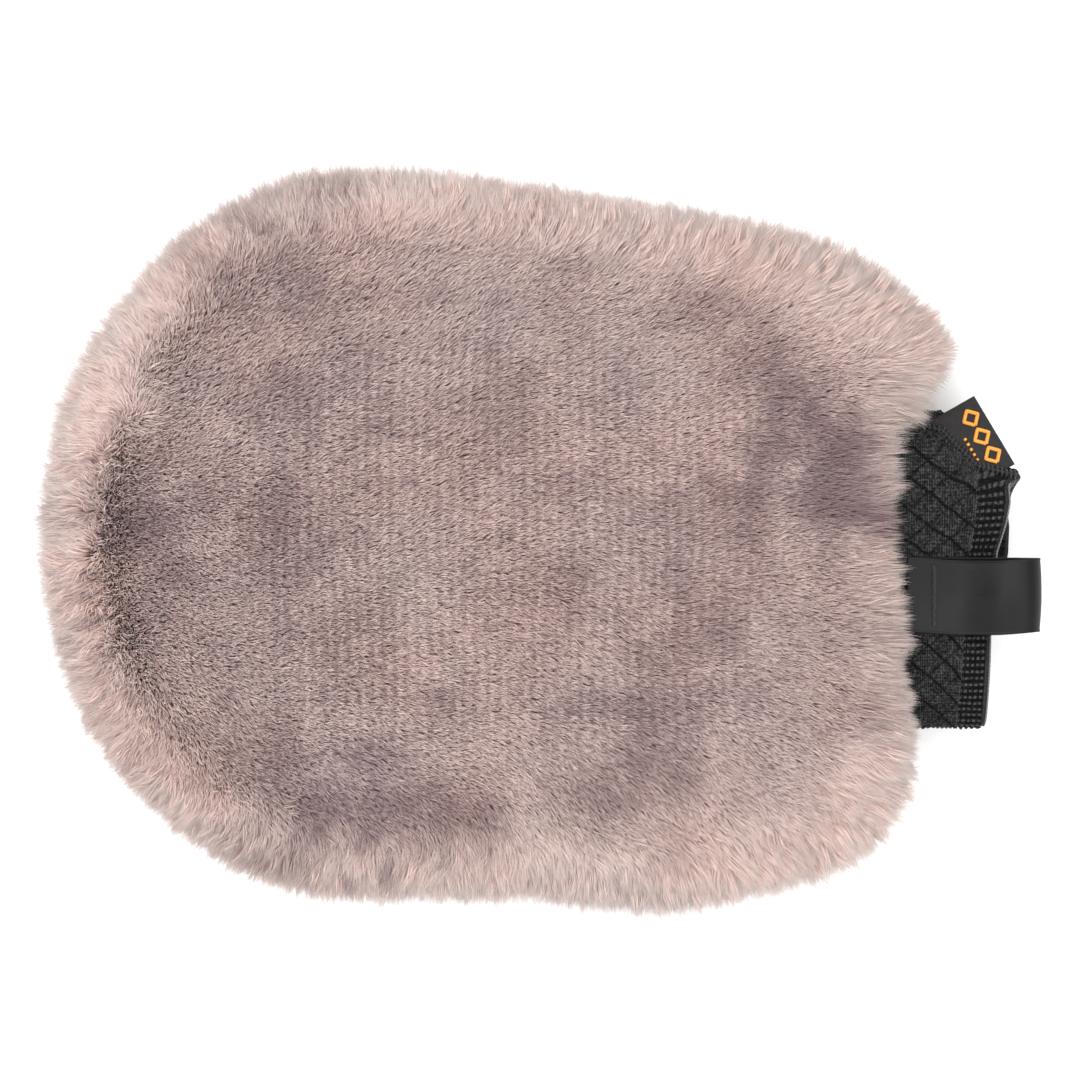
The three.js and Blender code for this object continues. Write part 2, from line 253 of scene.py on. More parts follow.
def body_grid():
    """Envelope of the pile tips: positions, outward normals, share and height side, on a grid."""
    share, z = meridian()
    angle = np.linspace(0, 2 * math.pi, AROUND, endpoint=False)
    radius = radii(angle)[:, None]
    x = CENTRE[0] + share * radius * np.cos(angle)[:, None]
    y = CENTRE[1] + share * radius * np.sin(angle)[:, None]
    points = np.stack([x, y, np.broadcast_to(z, x.shape)], -1)
    around = np.roll(points, -1, 0) - np.roll(points, 1, 0)
    down = np.gradient(points, axis=1)
    normal = np.cross(down, around)
    normal[:, 0] = [0, 0, 1]
    normal[:, -1] = [0, 0, -1]
    normal /= np.linalg.norm(normal, axis=-1, keepdims=True) + 1e-12
    upward = smooth(-0.1, 0.6, normal[..., 2])
    lumps = 0.9 * MM * noise(points, 34 * MM, 5) + 0.5 * MM * noise(points, 13 * MM, 6)
    dip = hollow_field(x, y, 0) * upward
    ragged = 0.8 * MM * noise(points, 11 * MM, 7) + 0.6 * MM * noise(points, 4 * MM, 4)
    side = ragged * (1 - np.abs(normal[..., 2]))
    lower = smooth(-0.2, -0.9, normal[..., 2])
    move = (lumps - dip) * (1 - lower) + side
    turn = np.broadcast_to(angle[:, None], x.shape)
    flat = points[..., :2]
    # The pile parts along the rim of the closed end
    parting = np.exp(-((share - PARTING_SHARE - 0.025 * noise(flat, 15 * MM, 8)) / 0.02) ** 2)
    parting = parting * (points[..., 2] > SEAM_Z) * smooth(2.2, 2.7, turn) * smooth(4.5, 4.1, turn)
    move = move - 0.8 * MM * parting * smooth(-0.5, 0.3, noise(flat, 9 * MM, 9))
    points = points + normal * move[..., None]
    share = np.broadcast_to(share, x.shape)
    return points, normal, share, down / (np.linalg.norm(down, axis=-1, keepdims=True) + 1e-12)


ENVELOPE, NORMAL, SHARE, DOWNHILL = body_grid()


def rim_place(points, share):
    """The share of the way out to the tips, held back where the combed rim is narrow."""
    closed_end = smooth(-50 * MM, -95 * MM, points[..., 0])
    closed_end = closed_end * (1 - np.exp(-((points[..., 1] - RIM_GAP_Y) / (13 * MM)) ** 2))
    across = smooth(MOUTH_HALF_Y, MOUTH_HALF_Y - 14 * MM, np.abs(points[..., 1] - MOUTH_Y))
    return share - 0.07 * closed_end - 0.11 * across * smooth(50 * MM, 75 * MM, points[..., 0])


def pile_depth(share, normal_z):
    """How deep the pile is under its envelope: short where the mitt lies on it."""
    top = 3.2 * MM + 4.2 * MM * smooth(0.68, 0.95, share)
    bottom = 3.2 * MM + 4.4 * MM * smooth(0.72, 0.95, share)
    return np.where(normal_z < 0, np.minimum(top, bottom), top)


DEPTH = pile_depth(SHARE, NORMAL[..., 2])
BACKING = ENVELOPE - NORMAL * DEPTH[..., None]


def in_mouth(points, more=0.0):
    """Whether points lie in the way of the cuff."""
    across = np.abs(points[..., 1] - MOUTH_Y) / (MOUTH_HALF_Y + more)
    high = np.abs(points[..., 2] - SEAM_Z) / (MOUTH[1].z - SEAM_Z + more)
    return (points[..., 0] > MOUTH[0].x - 12 * MM) & (across ** 3 + high ** 3 < 1)


# ---- meshes and materials ---------------------------------------------------------------------------

def new_object(name, mesh, material):
    obj = bpy.data.objects.new(name, mesh)
    bpy.context.scene.collection.objects.link(obj)
    mesh.materials.append(material)
    return obj


def add(mesh, material, body, node=None):
    """The mesh as a piece of its own that moves with a body and stands for a node of the CAD model."""
    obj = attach(new_object(mesh.name, mesh, material), body)
    if node:
        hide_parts(node)
    return obj


def mesh_from(name, vertices, quads, triangles=None, smooth_shaded=True):
    """A mesh from arrays of corner numbers, four to a face and then three to a face."""
    mesh = bpy.data.meshes.new(name)
    quads = np.asarray(quads, np.int32).reshape(-1, 4)
    triangles = np.zeros((0, 3), np.int32) if triangles is None else np.asarray(triangles, np.int32)
    corners = np.concatenate([quads.ravel(), triangles.ravel()])
    starts = np.concatenate([
        np.arange(len(quads)) * 4, 4 * len(quads) + np.arange(len(triangles)) * 3])
    mesh.vertices.add(len(vertices))
    mesh.vertices.foreach_set("co", np.asarray(vertices, np.float32).ravel())
    mesh.loops.add(len(corners))
    mesh.loops.foreach_set("vertex_index", corners.astype(np.int32))
    mesh.polygons.add(len(starts))
    mesh.polygons.foreach_set("loop_start", starts.astype(np.int32))
    mesh.polygons.foreach_set("use_smooth", np.full(len(starts), smooth_shaded))
    mesh.update(calc_edges=True)
    mesh.validate()
    return mesh


def attribute(mesh, name, values):
    layer = mesh.attributes.new(name, "FLOAT", "POINT")
    layer.data.foreach_set("value", np.asarray(values, np.float32).ravel())


def grid_quads(rows, columns, wrap_rows=False, wrap_columns=False):
    """Corner numbers of a grid's faces, with either direction closed on itself."""
    i = np.arange(rows if wrap_rows else rows - 1)[:, None]
    j = np.arange(columns if wrap_columns else columns - 1)[None, :]
    i2, j2 = (i + 1) % rows, (j + 1) % columns
    return np.stack(np.broadcast_arrays(
        i * columns + j, i * columns + j2, i2 * columns + j2, i2 * columns + j), -1).reshape(-1, 4)


class Shader:
    """A small helper that builds a node material."""

    def __init__(self, name, roughness=0.8, specular=0.3, sheen=0.0):
        self.material = bpy.data.materials.new(name)
        self.material.use_nodes = True
        self.tree = self.material.node_tree
        self.shader = self.tree.nodes["Principled BSDF"]
        self.shader.inputs["Roughness"].default_value = roughness
        self.shader.inputs["Specular IOR Level"].default_value = specular
        self.shader.inputs["Sheen Weight"].default_value = sheen

    def node(self, kind, **sockets):
        made = self.tree.nodes.new(kind)
        for key, value in sockets.items():
            if key in made.bl_rna.properties:
                setattr(made, key, value)
                continue
            socket = made.inputs[int(key[1:])] if key[0] == "i" and key[1:].isdigit() else made.inputs[key]
            if isinstance(value, bpy.types.NodeSocket):
                self.tree.links.new(value, socket)
            else:
                socket.default_value = value
        return made

    def attribute(self, name):
        return self.node("ShaderNodeAttribute", attribute_name=name).outputs["Fac"]

    def math(self, operation, a, b=0.0, c=0.0):
        return self.node("ShaderNodeMath", operation=operation, i0=a, i1=b, i2=c).outputs[0]

    def ramp(self, factor, stops):
        made = self.node("ShaderNodeValToRGB", Fac=factor)
        elements = made.color_ramp.elements
        while len(elements) < len(stops):
            elements.new(0.5)
        for element, (at, colour) in zip(elements, stops):
            element.position = at
            element.color = linear(colour)
        return made.outputs["Color"]

    def mix(self, factor, a, b, blend="MIX"):
        made = self.node("ShaderNodeMix", data_type="RGBA", blend_type=blend)
        for socket, value in ((made.inputs[0], factor), (made.inputs[6], a), (made.inputs[7], b)):
            if isinstance(value, bpy.types.NodeSocket):
                self.tree.links.new(value, socket)
            else:
                socket.default_value = value
        return made.outputs[2]

    def noise(self, scale, detail=3.0, rough=0.55):
        made = self.node("ShaderNodeTexNoise", Scale=scale, Detail=detail, Roughness=rough)
        place = self.node("ShaderNodeTexCoord").outputs["Object"]
        self.tree.links.new(place, made.inputs["Vector"])
        return made.outputs["Fac"]

    def wave(self, scale, distortion, detail=1.0, direction="X"):
        made = self.node("ShaderNodeTexWave", Scale=scale, Distortion=distortion, Detail=detail,
                         bands_direction=direction)
        place = self.node("ShaderNodeTexCoord").outputs["Object"]
        self.tree.links.new(place, made.inputs["Vector"])
        return made

    def bump(self, height, distance, strength=1.0):
        made = self.node("ShaderNodeBump", Height=height, Distance=distance, Strength=strength)
        self.tree.links.new(made.outputs["Normal"], self.shader.inputs["Normal"])

    def colour(self, socket):
        self.tree.links.new(socket, self.shader.inputs["Base Color"])
        return self.material


def linear(colour):
    """An sRGB colour written 0 to 255, as the shader's linear one."""
    c = np.array(colour[:3]) / 255
    return (*np.where(c <= 0.04045, c / 12.92, ((c + 0.055) / 1.055) ** 2.4), 1.0)


# ---- pile ---------------------------------------------------------------------------------------------

PILE_COUNT = 1.0


def pile_material(name):
    """Fibres that are dark mauve at the root and pale pink-beige at the tip."""
    s = Shader(name, roughness=0.7, specular=0.2, sheen=0.2)
    along = s.attribute("along")
    tone = s.attribute("tone")
    dark = s.ramp(along, [(0.0, (139, 118, 118)), (0.5, (135, 112, 114)), (1.0, (150, 127, 128))])
    pale = s.ramp(along, [(0.0, (196, 169, 162)), (0.5, (222, 197, 191)), (1.0, (243, 227, 220))])
    flecks = s.math("MULTIPLY_ADD", s.noise(1400.0, 2.0), 0.5, -0.25)
    mixed = s.mix(s.math("ADD", tone, flecks), dark, pale)
    grey = s.ramp(s.noise(28.0, 2.0), [(0.3, (255, 249, 246)), (0.7, (249, 250, 251))])
    return s.colour(s.mix(1.0, mixed, grey, "MULTIPLY"))


def backing_material():
    """The knitted ground cloth and the shaded depth of the pile on it."""
    s = Shader("pile_ground", roughness=0.95, specular=0.05)
    rows = s.wave(340.0, 2.0)
    shade = s.ramp(s.noise(260.0, 4.0), [(0.3, (158, 138, 137)), (0.7, (184, 164, 162))])
    s.bump(rows.outputs["Fac"], 0.0004, 0.6)
    return s.colour(shade)


def sample_surface(count, density, seed):
    """Roots spread over the body's surface by the given density, evenly enough to leave no bald spots."""
    a = np.roll(BACKING, -1, 0)[:, :-1] - BACKING[:, :-1]
    b = BACKING[:, 1:] - BACKING[:, :-1]
    area = np.linalg.norm(np.cross(a, b), axis=-1) * density[:, :-1]
    total = np.cumsum(area.ravel())
    rng = np.random.default_rng(seed)
    pick = (np.arange(count) + rng.random(count)) / count * total[-1]
    cell = np.minimum(np.searchsorted(total, pick), area.size - 1)
    i, j = np.divmod(cell, area.shape[1])
    u, v = rng.random(count), rng.random(count)

    def blend(field):
        i2 = (i + 1) % AROUND
        shape = (-1,) + (1,) * (field.ndim - 2)
        uu, vv = u.reshape(shape), v.reshape(shape)
        return ((1 - uu) * (1 - vv) * field[i, j] + uu * (1 - vv) * field[i2, j]
                + (1 - uu) * vv * field[i, j + 1] + uu * vv * field[i2, j + 1])

    return {"root": blend(BACKING), "normal": unit(blend(NORMAL)), "share": blend(SHARE),
            "depth": blend(DEPTH), "downhill": unit(blend(DOWNHILL))}, rng


def unit(vectors):
    return vectors / (np.linalg.norm(vectors, axis=-1, keepdims=True) + 1e-12)


def boundary(s):
    """Where the flat middle of the closed end meets the combed rim: 0 away from it, 1 on it."""
    x = s["root"][:, 0] - CENTRE[0]
    near = np.exp(-((s["share"] - 0.915) / 0.045) ** 2)
    return near * smooth(0.02, -0.05, x) * (s["normal"][:, 2] > 0)


def over_cuff(s):
    """Where the pile hangs out over the cuff's root: 0 away from the mouth, 1 on its upper lip."""
    x, y, z = s["root"].T
    across = smooth(MOUTH_HALF_Y + 9 * MM, MOUTH_HALF_Y - 3 * MM, np.abs(y - MOUTH_Y))
    return across * smooth(MOUTH[0].x - 8 * MM, MOUTH[0].x, x) * smooth(SEAM_Z + 4 * MM, SEAM_Z + 9 * MM, z)


def corner(s):
    """The upper corner of the mouth, where a lobe of pile covers the cuff's side."""
    return smooth(16 * MM, 36 * MM, s["root"][:, 1])


def rim_share(s, spread=0.0):
    """0 in the middle of the mitt, 1 on its combed rim."""
    flat = s["root"][:, :2]
    share = (rim_place(s["root"], s["share"]) + 0.03 * noise(flat, 8 * MM, 12)
             + 0.03 * noise(flat, 21 * MM, 14))
    return smooth(0.74 - spread, 0.93 + spread, share)


def stroke_direction(s, swirl):
    """Which way the pile is stroked: along the mitt in the middle, outwards at its edge."""
    x, y = s["root"][:, 0] - CENTRE[0], s["root"][:, 1] - CENTRE[1]
    flat = s["root"][:, :2]
    spread = 5.0 * y * smooth(-0.06, 0.06, x) + 2.5 * y
    middle = np.stack([np.ones_like(x), spread + 0.28 * noise(flat, 22 * MM, 11), np.zeros_like(x)], -1)
    middle = unit(middle)
    edge = rim_share(s)
    under = smooth(0.1, -0.4, s["normal"][:, 2])
    outward = s["downhill"] * np.where(s["normal"][:, 2:3] < 0, -1.0, 1.0)
    way = middle * (1 - edge)[:, None] + outward * edge[:, None]
    way = way * (1 - under)[:, None] + outward * under[:, None]
    turning = np.stack([noise(s["root"], 5 * MM, 13 + k) for k in range(3)], -1)
    way = unit(way) + (swirl + 0.45 * boundary(s))[:, None] * turning
    way -= s["normal"] * (way * s["normal"]).sum(-1, keepdims=True)
    return unit(way)


def fibre_mesh(name, root, normal, up, drift, radius, tone, rings, seed):
    """Closed, tapering three-sided fibres that rise along the normal and then lie over by drift."""
    count = len(root)
    rng = np.random.default_rng(seed)
    t = np.linspace(0, 1, rings + 1)
    rise = 1 - (1 - t) ** 1.6
    lean = t ** 1.7
    centre = (root[:, None] + normal[:, None] * (up[:, None] * rise)[..., None]
              + drift[:, None] * lean[None, :, None])
    centre[..., 2] = np.maximum(centre[..., 2], 0.45 * MM)
    ahead = unit(np.gradient(centre, axis=1))
    side = unit(np.cross(ahead, unit(drift + 1e-6)[:, None]) + 1e-9)
    other = np.cross(ahead, side)
    turn = rng.random(count)[:, None] * 2 * math.pi + np.arange(3) * 2 * math.pi / 3
    width = radius[:, None] * (1 - 0.6 * t[:rings] ** 1.5)
    body = (centre[:, :rings, None]
            + side[:, :rings, None] * (width[..., None] * np.cos(turn)[:, None])[..., None]
            + other[:, :rings, None] * (width[..., None] * np.sin(turn)[:, None])[..., None])
    vertices = np.concatenate([body.reshape(count, rings * 3, 3), centre[:, rings:]], axis=1)
    vertices[..., 2] = np.maximum(vertices[..., 2], 0.1 * MM)
    each = rings * 3 + 1
    quads = []
    for r in range(rings - 1):
        for k in range(3):
            k2 = (k + 1) % 3
            quads.append([r * 3 + k, r * 3 + k2, (r + 1) * 3 + k2, (r + 1) * 3 + k])
    last = (rings - 1) * 3
    tips = [[last + k, last + (k + 1) % 3, rings * 3] for k in range(3)] + [[2, 1, 0]]
    quads = np.array(quads, int).reshape(-1, 4)
    tips = np.array(tips, int)
    offset = (np.arange(count) * each)[:, None, None]
    mesh = mesh_from(name, vertices.reshape(-1, 3), (quads[None] + offset).reshape(-1, 4),
                     (tips[None] + offset).reshape(-1, 3))
    heights = np.concatenate([np.repeat(t[:rings], 3), [1.0]])
    attribute(mesh, "along", np.tile(heights, count))
    attribute(mesh, "tone", np.repeat(tone, each))
    bake_layout(mesh, count, rings, quads, tips, heights)
    return mesh


def bake_layout(mesh, count, rings, quads, tips, heights):
    """One small cell of the bake layout for each fibre, running from its root up to its tip."""
    side = math.ceil(math.sqrt(count))
    column = np.arange(rings * 3 + 1) % 3
    quad_u = np.tile([0.0, 1.0, 1.0, 0.0], (len(quads), 1)) + column[quads[:, :1]]
    tip_u = np.tile([0.0, 1.0, 0.5], (len(tips), 1)) + column[tips[:, :1]]
    tip_u[-1] = [0.0, 0.2, 0.1]
    u = np.concatenate([quad_u.ravel(), tip_u.ravel()]) / 3
    v = np.concatenate([heights[quads].ravel(), heights[tips].ravel()])
    fours, threes = len(quads) * 4, len(tips) * 3
    i, j = np.divmod(np.arange(count), side)

    def placed(values, start, each, cell):
        inner = 0.14 + 0.72 * values[start:start + each]
        return ((cell[:, None] + inner[None]) / side).ravel()

    uv = np.stack([
        np.concatenate([placed(u, 0, fours, i), placed(u, fours, threes, i)]),
        np.concatenate([placed(v, 0, fours, j), placed(v, fours, threes, j)]),
    ], -1)
    layer = mesh.uv_layers.new(name="OFBake")
    layer.uv.foreach_set("vector", uv.astype(np.float32).ravel())


def grow_pile(name, count, density, settings, material, seed, parts=1):
    """Tufts of fibres over part of the body, as the given number of pieces."""
    s, rng = sample_surface(int(count * PILE_COUNT), density, seed)
    keep = ~in_mouth(s["root"] + s["normal"] * (s["depth"] * 0.55)[:, None], 1.0 * MM)
    s = {k: v[keep] for k, v in s.items()}
    count = int(keep.sum())
    site, cell = clump_sites(s["root"], settings["clump"], seed + 20)
    edge = rim_share(s)
    lower = smooth(0.0, -0.7, s["normal"][:, 2])
    near = boundary(s)
    way = stroke_direction(s, settings["swirl"])
    flat = s["root"][:, :2]
    wander = (hashed(cell, seed + 31) - 0.5) * settings["wander"] * (1 + near)
    across = np.cross(s["normal"], way)
    way = unit(way * np.cos(wander)[:, None] + across * np.sin(wander)[:, None])
    lock = hashed(cell, seed + 32) - 0.5
    ragged = 1 + 0.7 * smooth(0.0, 80 * MM, flat[:, 0]) * edge
    length = 1 + settings["uneven"] * (rng.random(count) * 2 - 1) + settings["locks"] * ragged * lock
    up = s["depth"] * settings["up"] * length
    along = (settings["lean"] * (1 - edge) + settings["edge_lean"] * edge) * length
    along = along * (1 + 0.4 * lower) * (1 - 0.35 * near)
    to_site = site - s["root"]
    to_site -= s["normal"] * (to_site * s["normal"]).sum(-1, keepdims=True)
    drift = way * along[:, None] + settings["gather"] * to_site
    lip = over_cuff(s)
    lobe = corner(s)
    reach = np.stack([np.ones(count), -0.25 - 0.3 * lobe, 0.05 - 0.2 * lobe], -1)
    reach = reach * (1 + 0.5 * (hashed(cell, seed + 35) - 0.5))[:, None]
    drift = drift + reach * (settings["lip"] * lip * (1 + 0.8 * lobe))[:, None]
    drift[:, 2] -= settings["droop"] * edge * (1 - lower)
    drift += settings["stray"] * rng.normal(size=(count, 3))
    tip = s["root"] + s["normal"] * up[:, None] + drift
    end = np.interp(tip[:, 1], *FRINGE.T) + 1.3 * MM * noise(tip[:, :2] * [0, 1], 1.9 * MM, 36)
    end += 0.7 * MM * rng.normal(size=count)
    facing = smooth(MOUTH_HALF_Y + 5 * MM, MOUTH_HALF_Y, np.abs(flat[:, 1] - MOUTH_Y))
    facing = facing * (flat[:, 0] > 80 * MM)
    drift[:, 0] -= 0.92 * facing * np.maximum(tip[:, 0] - end, 0)
    drift[:, 0] += 0.8 * lip * np.clip(end - tip[:, 0], 0, 8 * MM)
    # Bands 3.1 mm apart across the middle of the top: the pile is a little shorter along them, with painted
    # shade along the bands and painted light between them
    wave = flat[:, 0] + 0.8 * MM * noise(flat, 30 * MM, 41)
    columns = 0.5 + 0.5 * np.cos(2 * math.pi * wave / (3.1 * MM))
    middle = 1 - smooth(0.45, 0.75, s["share"])
    # Painted shade: the pile's tone is darkened in the hollows and creases, more strongly on the rim
    dark = hollow_field(flat[:, 0], flat[:, 1], 1) * smooth(-0.1, 0.5, s["normal"][:, 2])
    soft_edge = rim_share(s, 0.07)
    tone = 0.5 + settings["tone"] + 0.14 * edge + 0.32 * soft_edge - (0.56 + 0.3 * soft_edge) * dark
    tone += 0.14 * noise(s["root"], 26 * MM, 42) + 0.14 * noise(s["root"], 7 * MM, 43)
    tone += edge * (0.24 * noise(s["root"], 4 * MM, 44) + 0.13 * noise(s["root"], 10 * MM, 45))
    # Painted shade along the column bands and painted light between them
    tone += 0.08 * soft_edge * smooth(40 * MM, 100 * MM, flat[:, 0]) - 0.26 * (columns - 0.4) * middle
    tone += settings["lock_tone"] * (hashed(cell, seed + 33) - 0.5)
    tone += 0.3 * near * (hashed(cell, seed + 34) - 0.3)
    tone += settings["grain"] * (rng.random(count) - 0.5)
    up = up * (1 - 0.07 * columns * middle)
    radius = settings["radius"] * (1 - settings["fine_edge"] * edge) * (0.8 + 0.4 * rng.random(count))
    radius = radius / max(PILE_COUNT, 0.4) ** 0.5
    for k in range(parts):
        part = slice(k, None, parts)
        label = f"{name}_{k + 1}" if parts > 1 else name
        mesh = fibre_mesh(label, s["root"][part], s["normal"][part], up[part], drift[part], radius[part],
                          tone[part], settings["rings"], seed + 50 + k)
        add(mesh, material, "mitt")


TOP_SIDE = smooth(-0.25, 0.05, NORMAL[..., 2])
EDGE_ZONE = smooth(0.74, 0.9, rim_place(ENVELOPE, SHARE))
TUFTS = dict(clump=1.2 * MM, wander=0.45, swirl=0.12, uneven=0.08, locks=0.05, up=0.97, lean=2.2 * MM,
             edge_lean=3.2 * MM, gather=0.1, stray=0.3 * MM, droop=0.6 * MM, radius=0.23 * MM, fine_edge=0.1,
             tone=0.0, lock_tone=0.12, grain=1.05, lip=0.6 * MM, rings=1)
LONG = dict(clump=2.6 * MM, wander=0.9, swirl=0.35, uneven=0.25, locks=0.5, up=1.08, lean=3.2 * MM,
            edge_lean=4.4 * MM, gather=0.45, stray=0.25 * MM, droop=1.0 * MM, radius=0.18 * MM,
            fine_edge=0.15, tone=0.14, lock_tone=0.26, grain=0.3, lip=1.4 * MM, rings=2)
FLUFF = dict(clump=1.8 * MM, wander=1.2, swirl=0.5, uneven=0.35, locks=0.35, up=1.1, lean=3.0 * MM,
             edge_lean=3.9 * MM, gather=0.2, stray=0.5 * MM, droop=0.9 * MM, radius=0.13 * MM, fine_edge=0.1,
             tone=0.2, lock_tone=0.2, grain=0.3, lip=1.0 * MM, rings=1)
UNDER = dict(clump=2.4 * MM, wander=1.2, swirl=0.4, uneven=0.3, locks=0.3, up=0.9, lean=3.5 * MM,
             edge_lean=4.5 * MM, gather=0.4, stray=0.25 * MM, droop=0.5 * MM, radius=0.5 * MM, fine_edge=0.3,
             tone=0.05, lock_tone=0.3, grain=0.4, lip=0.0, rings=1)


def make_pile():
    cloth = pile_material("pile")
    grow_pile("top_pile", 400000, TOP_SIDE, TUFTS, cloth, 100, parts=8)
    rim = (0.04 + EDGE_ZONE) * smooth(-0.75, -0.2, NORMAL[..., 2])
    grow_pile("edge_pile", 76000, rim, LONG, cloth, 200, parts=5)
    grow_pile("edge_fluff", 120000, rim, FLUFF, cloth, 250, parts=3)
    below = (1 - TOP_SIDE) * (0.6 + EDGE_ZONE)
    grow_pile("bottom_pile", 60000, below, UNDER, cloth, 300, parts=2)


def make_backing():
    """The two panels' ground cloth, from the middle down to the seam, open at the mouth."""
    material = backing_material()
    rows = np.argmax(ENVELOPE[0, :, 2] < SEAM_Z)
    for name, columns, node in (("top_panel_cloth", slice(0, rows + 1), "top_plush_panel"),
                                ("bottom_panel_cloth", slice(rows, None), "bottom_plush_panel")):
        points = BACKING[::2, columns]
        if name.startswith("bottom"):
            points = points.copy()
            points[..., 2] = np.maximum(points[..., 2], 1.2 * MM)
        shape = points.shape[:2]
        quads = grid_quads(*shape, wrap_rows=True)
        flat = points.reshape(-1, 3)
        open_here = in_mouth(flat, -0.5 * MM)[quads].any(1)
        mesh = mesh_from(name, flat, quads[~open_here])
        obj = add(mesh, material, "mitt", node)


# ---- sewn and knitted pieces ---------------------------------------------------------------------------

def grid_normals(points, wrap_rows=False):
    """Unit normals of a grid of points, rows by columns."""
    if wrap_rows:
        along_rows = np.roll(points, -1, 0) - np.roll(points, 1, 0)
    else:
        along_rows = np.gradient(points, axis=0)
    return unit(np.cross(np.gradient(points, axis=1), along_rows))


def shell(name, front, back, wrap_rows=False):
    """A closed skin round two grids of points that lie one over the other."""
    rows, columns = front.shape[:2]
    count = rows * columns
    faces = grid_quads(rows, columns, wrap_rows)
    number = np.arange(count).reshape(rows, columns)
    rims = [number[:, -1], number[::-1, 0]]
    if not wrap_rows:
        rims = [np.concatenate([number[:, -1], number[-1, -2::-1], number[-2::-1, 0], number[0, 1:]])]
    sides = []
    for rim in rims:
        after = np.roll(rim, -1) if wrap_rows else rim[1:]
        here = rim if wrap_rows else rim[:-1]
        sides.append(np.stack([here, here + count, after + count, after], -1))
    quads = np.concatenate([faces, faces[:, ::-1] + count, *sides])
    vertices = np.concatenate([front.reshape(-1, 3), back.reshape(-1, 3)])
    p = vertices[quads]
    volume = (np.cross(p[:, 0], p[:, 1]) * p[:, 2]).sum() + (np.cross(p[:, 0], p[:, 2]) * p[:, 3]).sum()
    return mesh_from(name, vertices, quads if volume > 0 else quads[:, ::-1])


def capped(name, rings, ends):
    """A skin over rings of points, with its two ends closed by fans round the given middle points."""
    length, sides = rings.shape[:2]
    count = length * sides
    caps = []
    for k in range(sides):
        after = (k + 1) % sides
        caps.append([k, after, count])
        caps.append([count - sides + after, count - sides + k, count + 1])
    vertices = np.concatenate([rings.reshape(-1, 3), ends])
    return mesh_from(name, vertices, grid_quads(length, sides, False, True), np.array(caps))


def tube(name, path, radius, closed=False, sides=10):
    """A round cord along a path, with one radius or one for each point."""
    path = np.asarray(path, float)
    radius = np.broadcast_to(radius, len(path))
    if closed:
        ahead = unit(np.roll(path, -1, 0) - np.roll(path, 1, 0))
    else:
        ahead = unit(np.gradient(path, axis=0))
    start = np.array([0.0, 0.0, 1.0]) if abs(ahead[0, 2]) < 0.9 else np.array([1.0, 0.0, 0.0])
    normals = [unit(start - ahead[0] * (start @ ahead[0]))]
    for d in ahead[1:]:
        normals.append(unit(normals[-1] - d * (normals[-1] @ d)))
    normals = np.array(normals)
    other = np.cross(ahead, normals)
    angle = np.arange(sides) * 2 * math.pi / sides
    ring = normals[:, None] * np.cos(angle)[None, :, None] + other[:, None] * np.sin(angle)[None, :, None]
    points = path[:, None] + ring * radius[:, None, None]
    if closed:
        return mesh_from(name, points.reshape(-1, 3), grid_quads(len(path), sides, True, True))
    return capped(name, points, path[[0, -1]])


def joined(name, meshes):
    """Several meshes as one."""
    vertices, quads, triangles, at = [], [], [], 0
    for mesh in meshes:
        co = np.empty(len(mesh.vertices) * 3)
        mesh.vertices.foreach_get("co", co)
        vertices.append(co.reshape(-1, 3))
        for polygon in mesh.polygons:
            (quads if len(polygon.vertices) == 4 else triangles).append([v + at for v in polygon.vertices])
        at += len(mesh.vertices)
        bpy.data.meshes.remove(mesh)
    return mesh_from(name, np.concatenate(vertices), quads, np.array(triangles).reshape(-1, 3))


# The cuff's outer face: where along it, centre across, half width, half height, lean
CUFF_ROWS = MM * np.array([
    [92.6, -7.4, 49.0, 9.4, 0], [95.5, -7.4, 48.0, 9.2, 0], [99.4, -7.4, 43.4, 7.5, 0],
    [104, -7.4, 43.4, 7.5, 0], [108, -7.4, 43.2, 7.5, 20], [115.1, -12.5, 38.2, 7.4, 80],
    [124, -16.5, 34.3, 7.2, 100],
])
# How far the upper layer's slanting side lies in from the lower one's: [along the cuff, distance]
SLANT = MM * np.array([[99, 0], [104, 5.8], [108, 6.9], [115.1, 6.3], [120, 3.6], [124, 1.2]])
RIB_FROM = 115.6 * MM
RIB_TO = 124.0 * MM
KNIT = 0.9 * MM
# How far the cuff's two free edges reach past its end: [across the mitt, reach]
FRONT_EDGE = MM * np.array([
    [-50, -0.5], [-32, -1.6], [-25, -2.2], [-3.2, -2.6], [0.1, -1.8], [4.6, -0.8], [10, -0.2],
    [14.6, -0.6], [17.8, 0.2],
])
BACK_EDGE = MM * np.array([
    [-50, -0.3], [-32, -1.9], [-25, -0.8], [-3.8, 2.4], [3.6, 1.9], [7.5, 1.0], [14, 1.4], [17.8, 5.0],
])


def bent(v, squareness=0.72):
    return np.sign(v) * np.abs(v) ** squareness


def cuff_face(along, angle, inset=0.0):
    """Points of the cuff at distances along it and angles round it, moved in from its outer face."""
    at, turn = np.broadcast_arrays(along[None, :], angle[:, None])
    middle, half, high, lean = (np.interp(at, CUFF_ROWS[:, 0], CUFF_ROWS[:, k]) for k in range(1, 5))
    slant = np.interp(at, *SLANT.T) * smooth(-0.2, 0.02, np.sin(turn)) * smooth(0.55, 0.95, np.cos(turn))
    y = bent(np.cos(turn)) * (half - inset) - slant
    z = bent(np.sin(turn)) * (high - inset)
    side = smooth(-0.5, 0.5, np.sin(turn))
    reach = side * np.interp(y + middle, *FRONT_EDGE.T) + (1 - side) * np.interp(y + middle, *BACK_EDGE.T)
    x = at + lean * y + reach * smooth(110 * MM, 124 * MM, at)
    return np.stack([x + SHIFT[0], y + middle + SHIFT[1], z + SEAM_Z], -1)


def round_length(points):
    """Distance round each ring of a grid from its first row, so that a pattern can follow it."""
    step = np.linalg.norm(np.diff(points, axis=0, prepend=points[:1]), axis=-1)
    return np.cumsum(step, 0)


def frac_line(value, width):
    """1 on whole numbers, fading to 0 at the given distance from them."""
    return 1 - smooth(0.25, 1.0, np.abs(value - np.round(value)) / width)


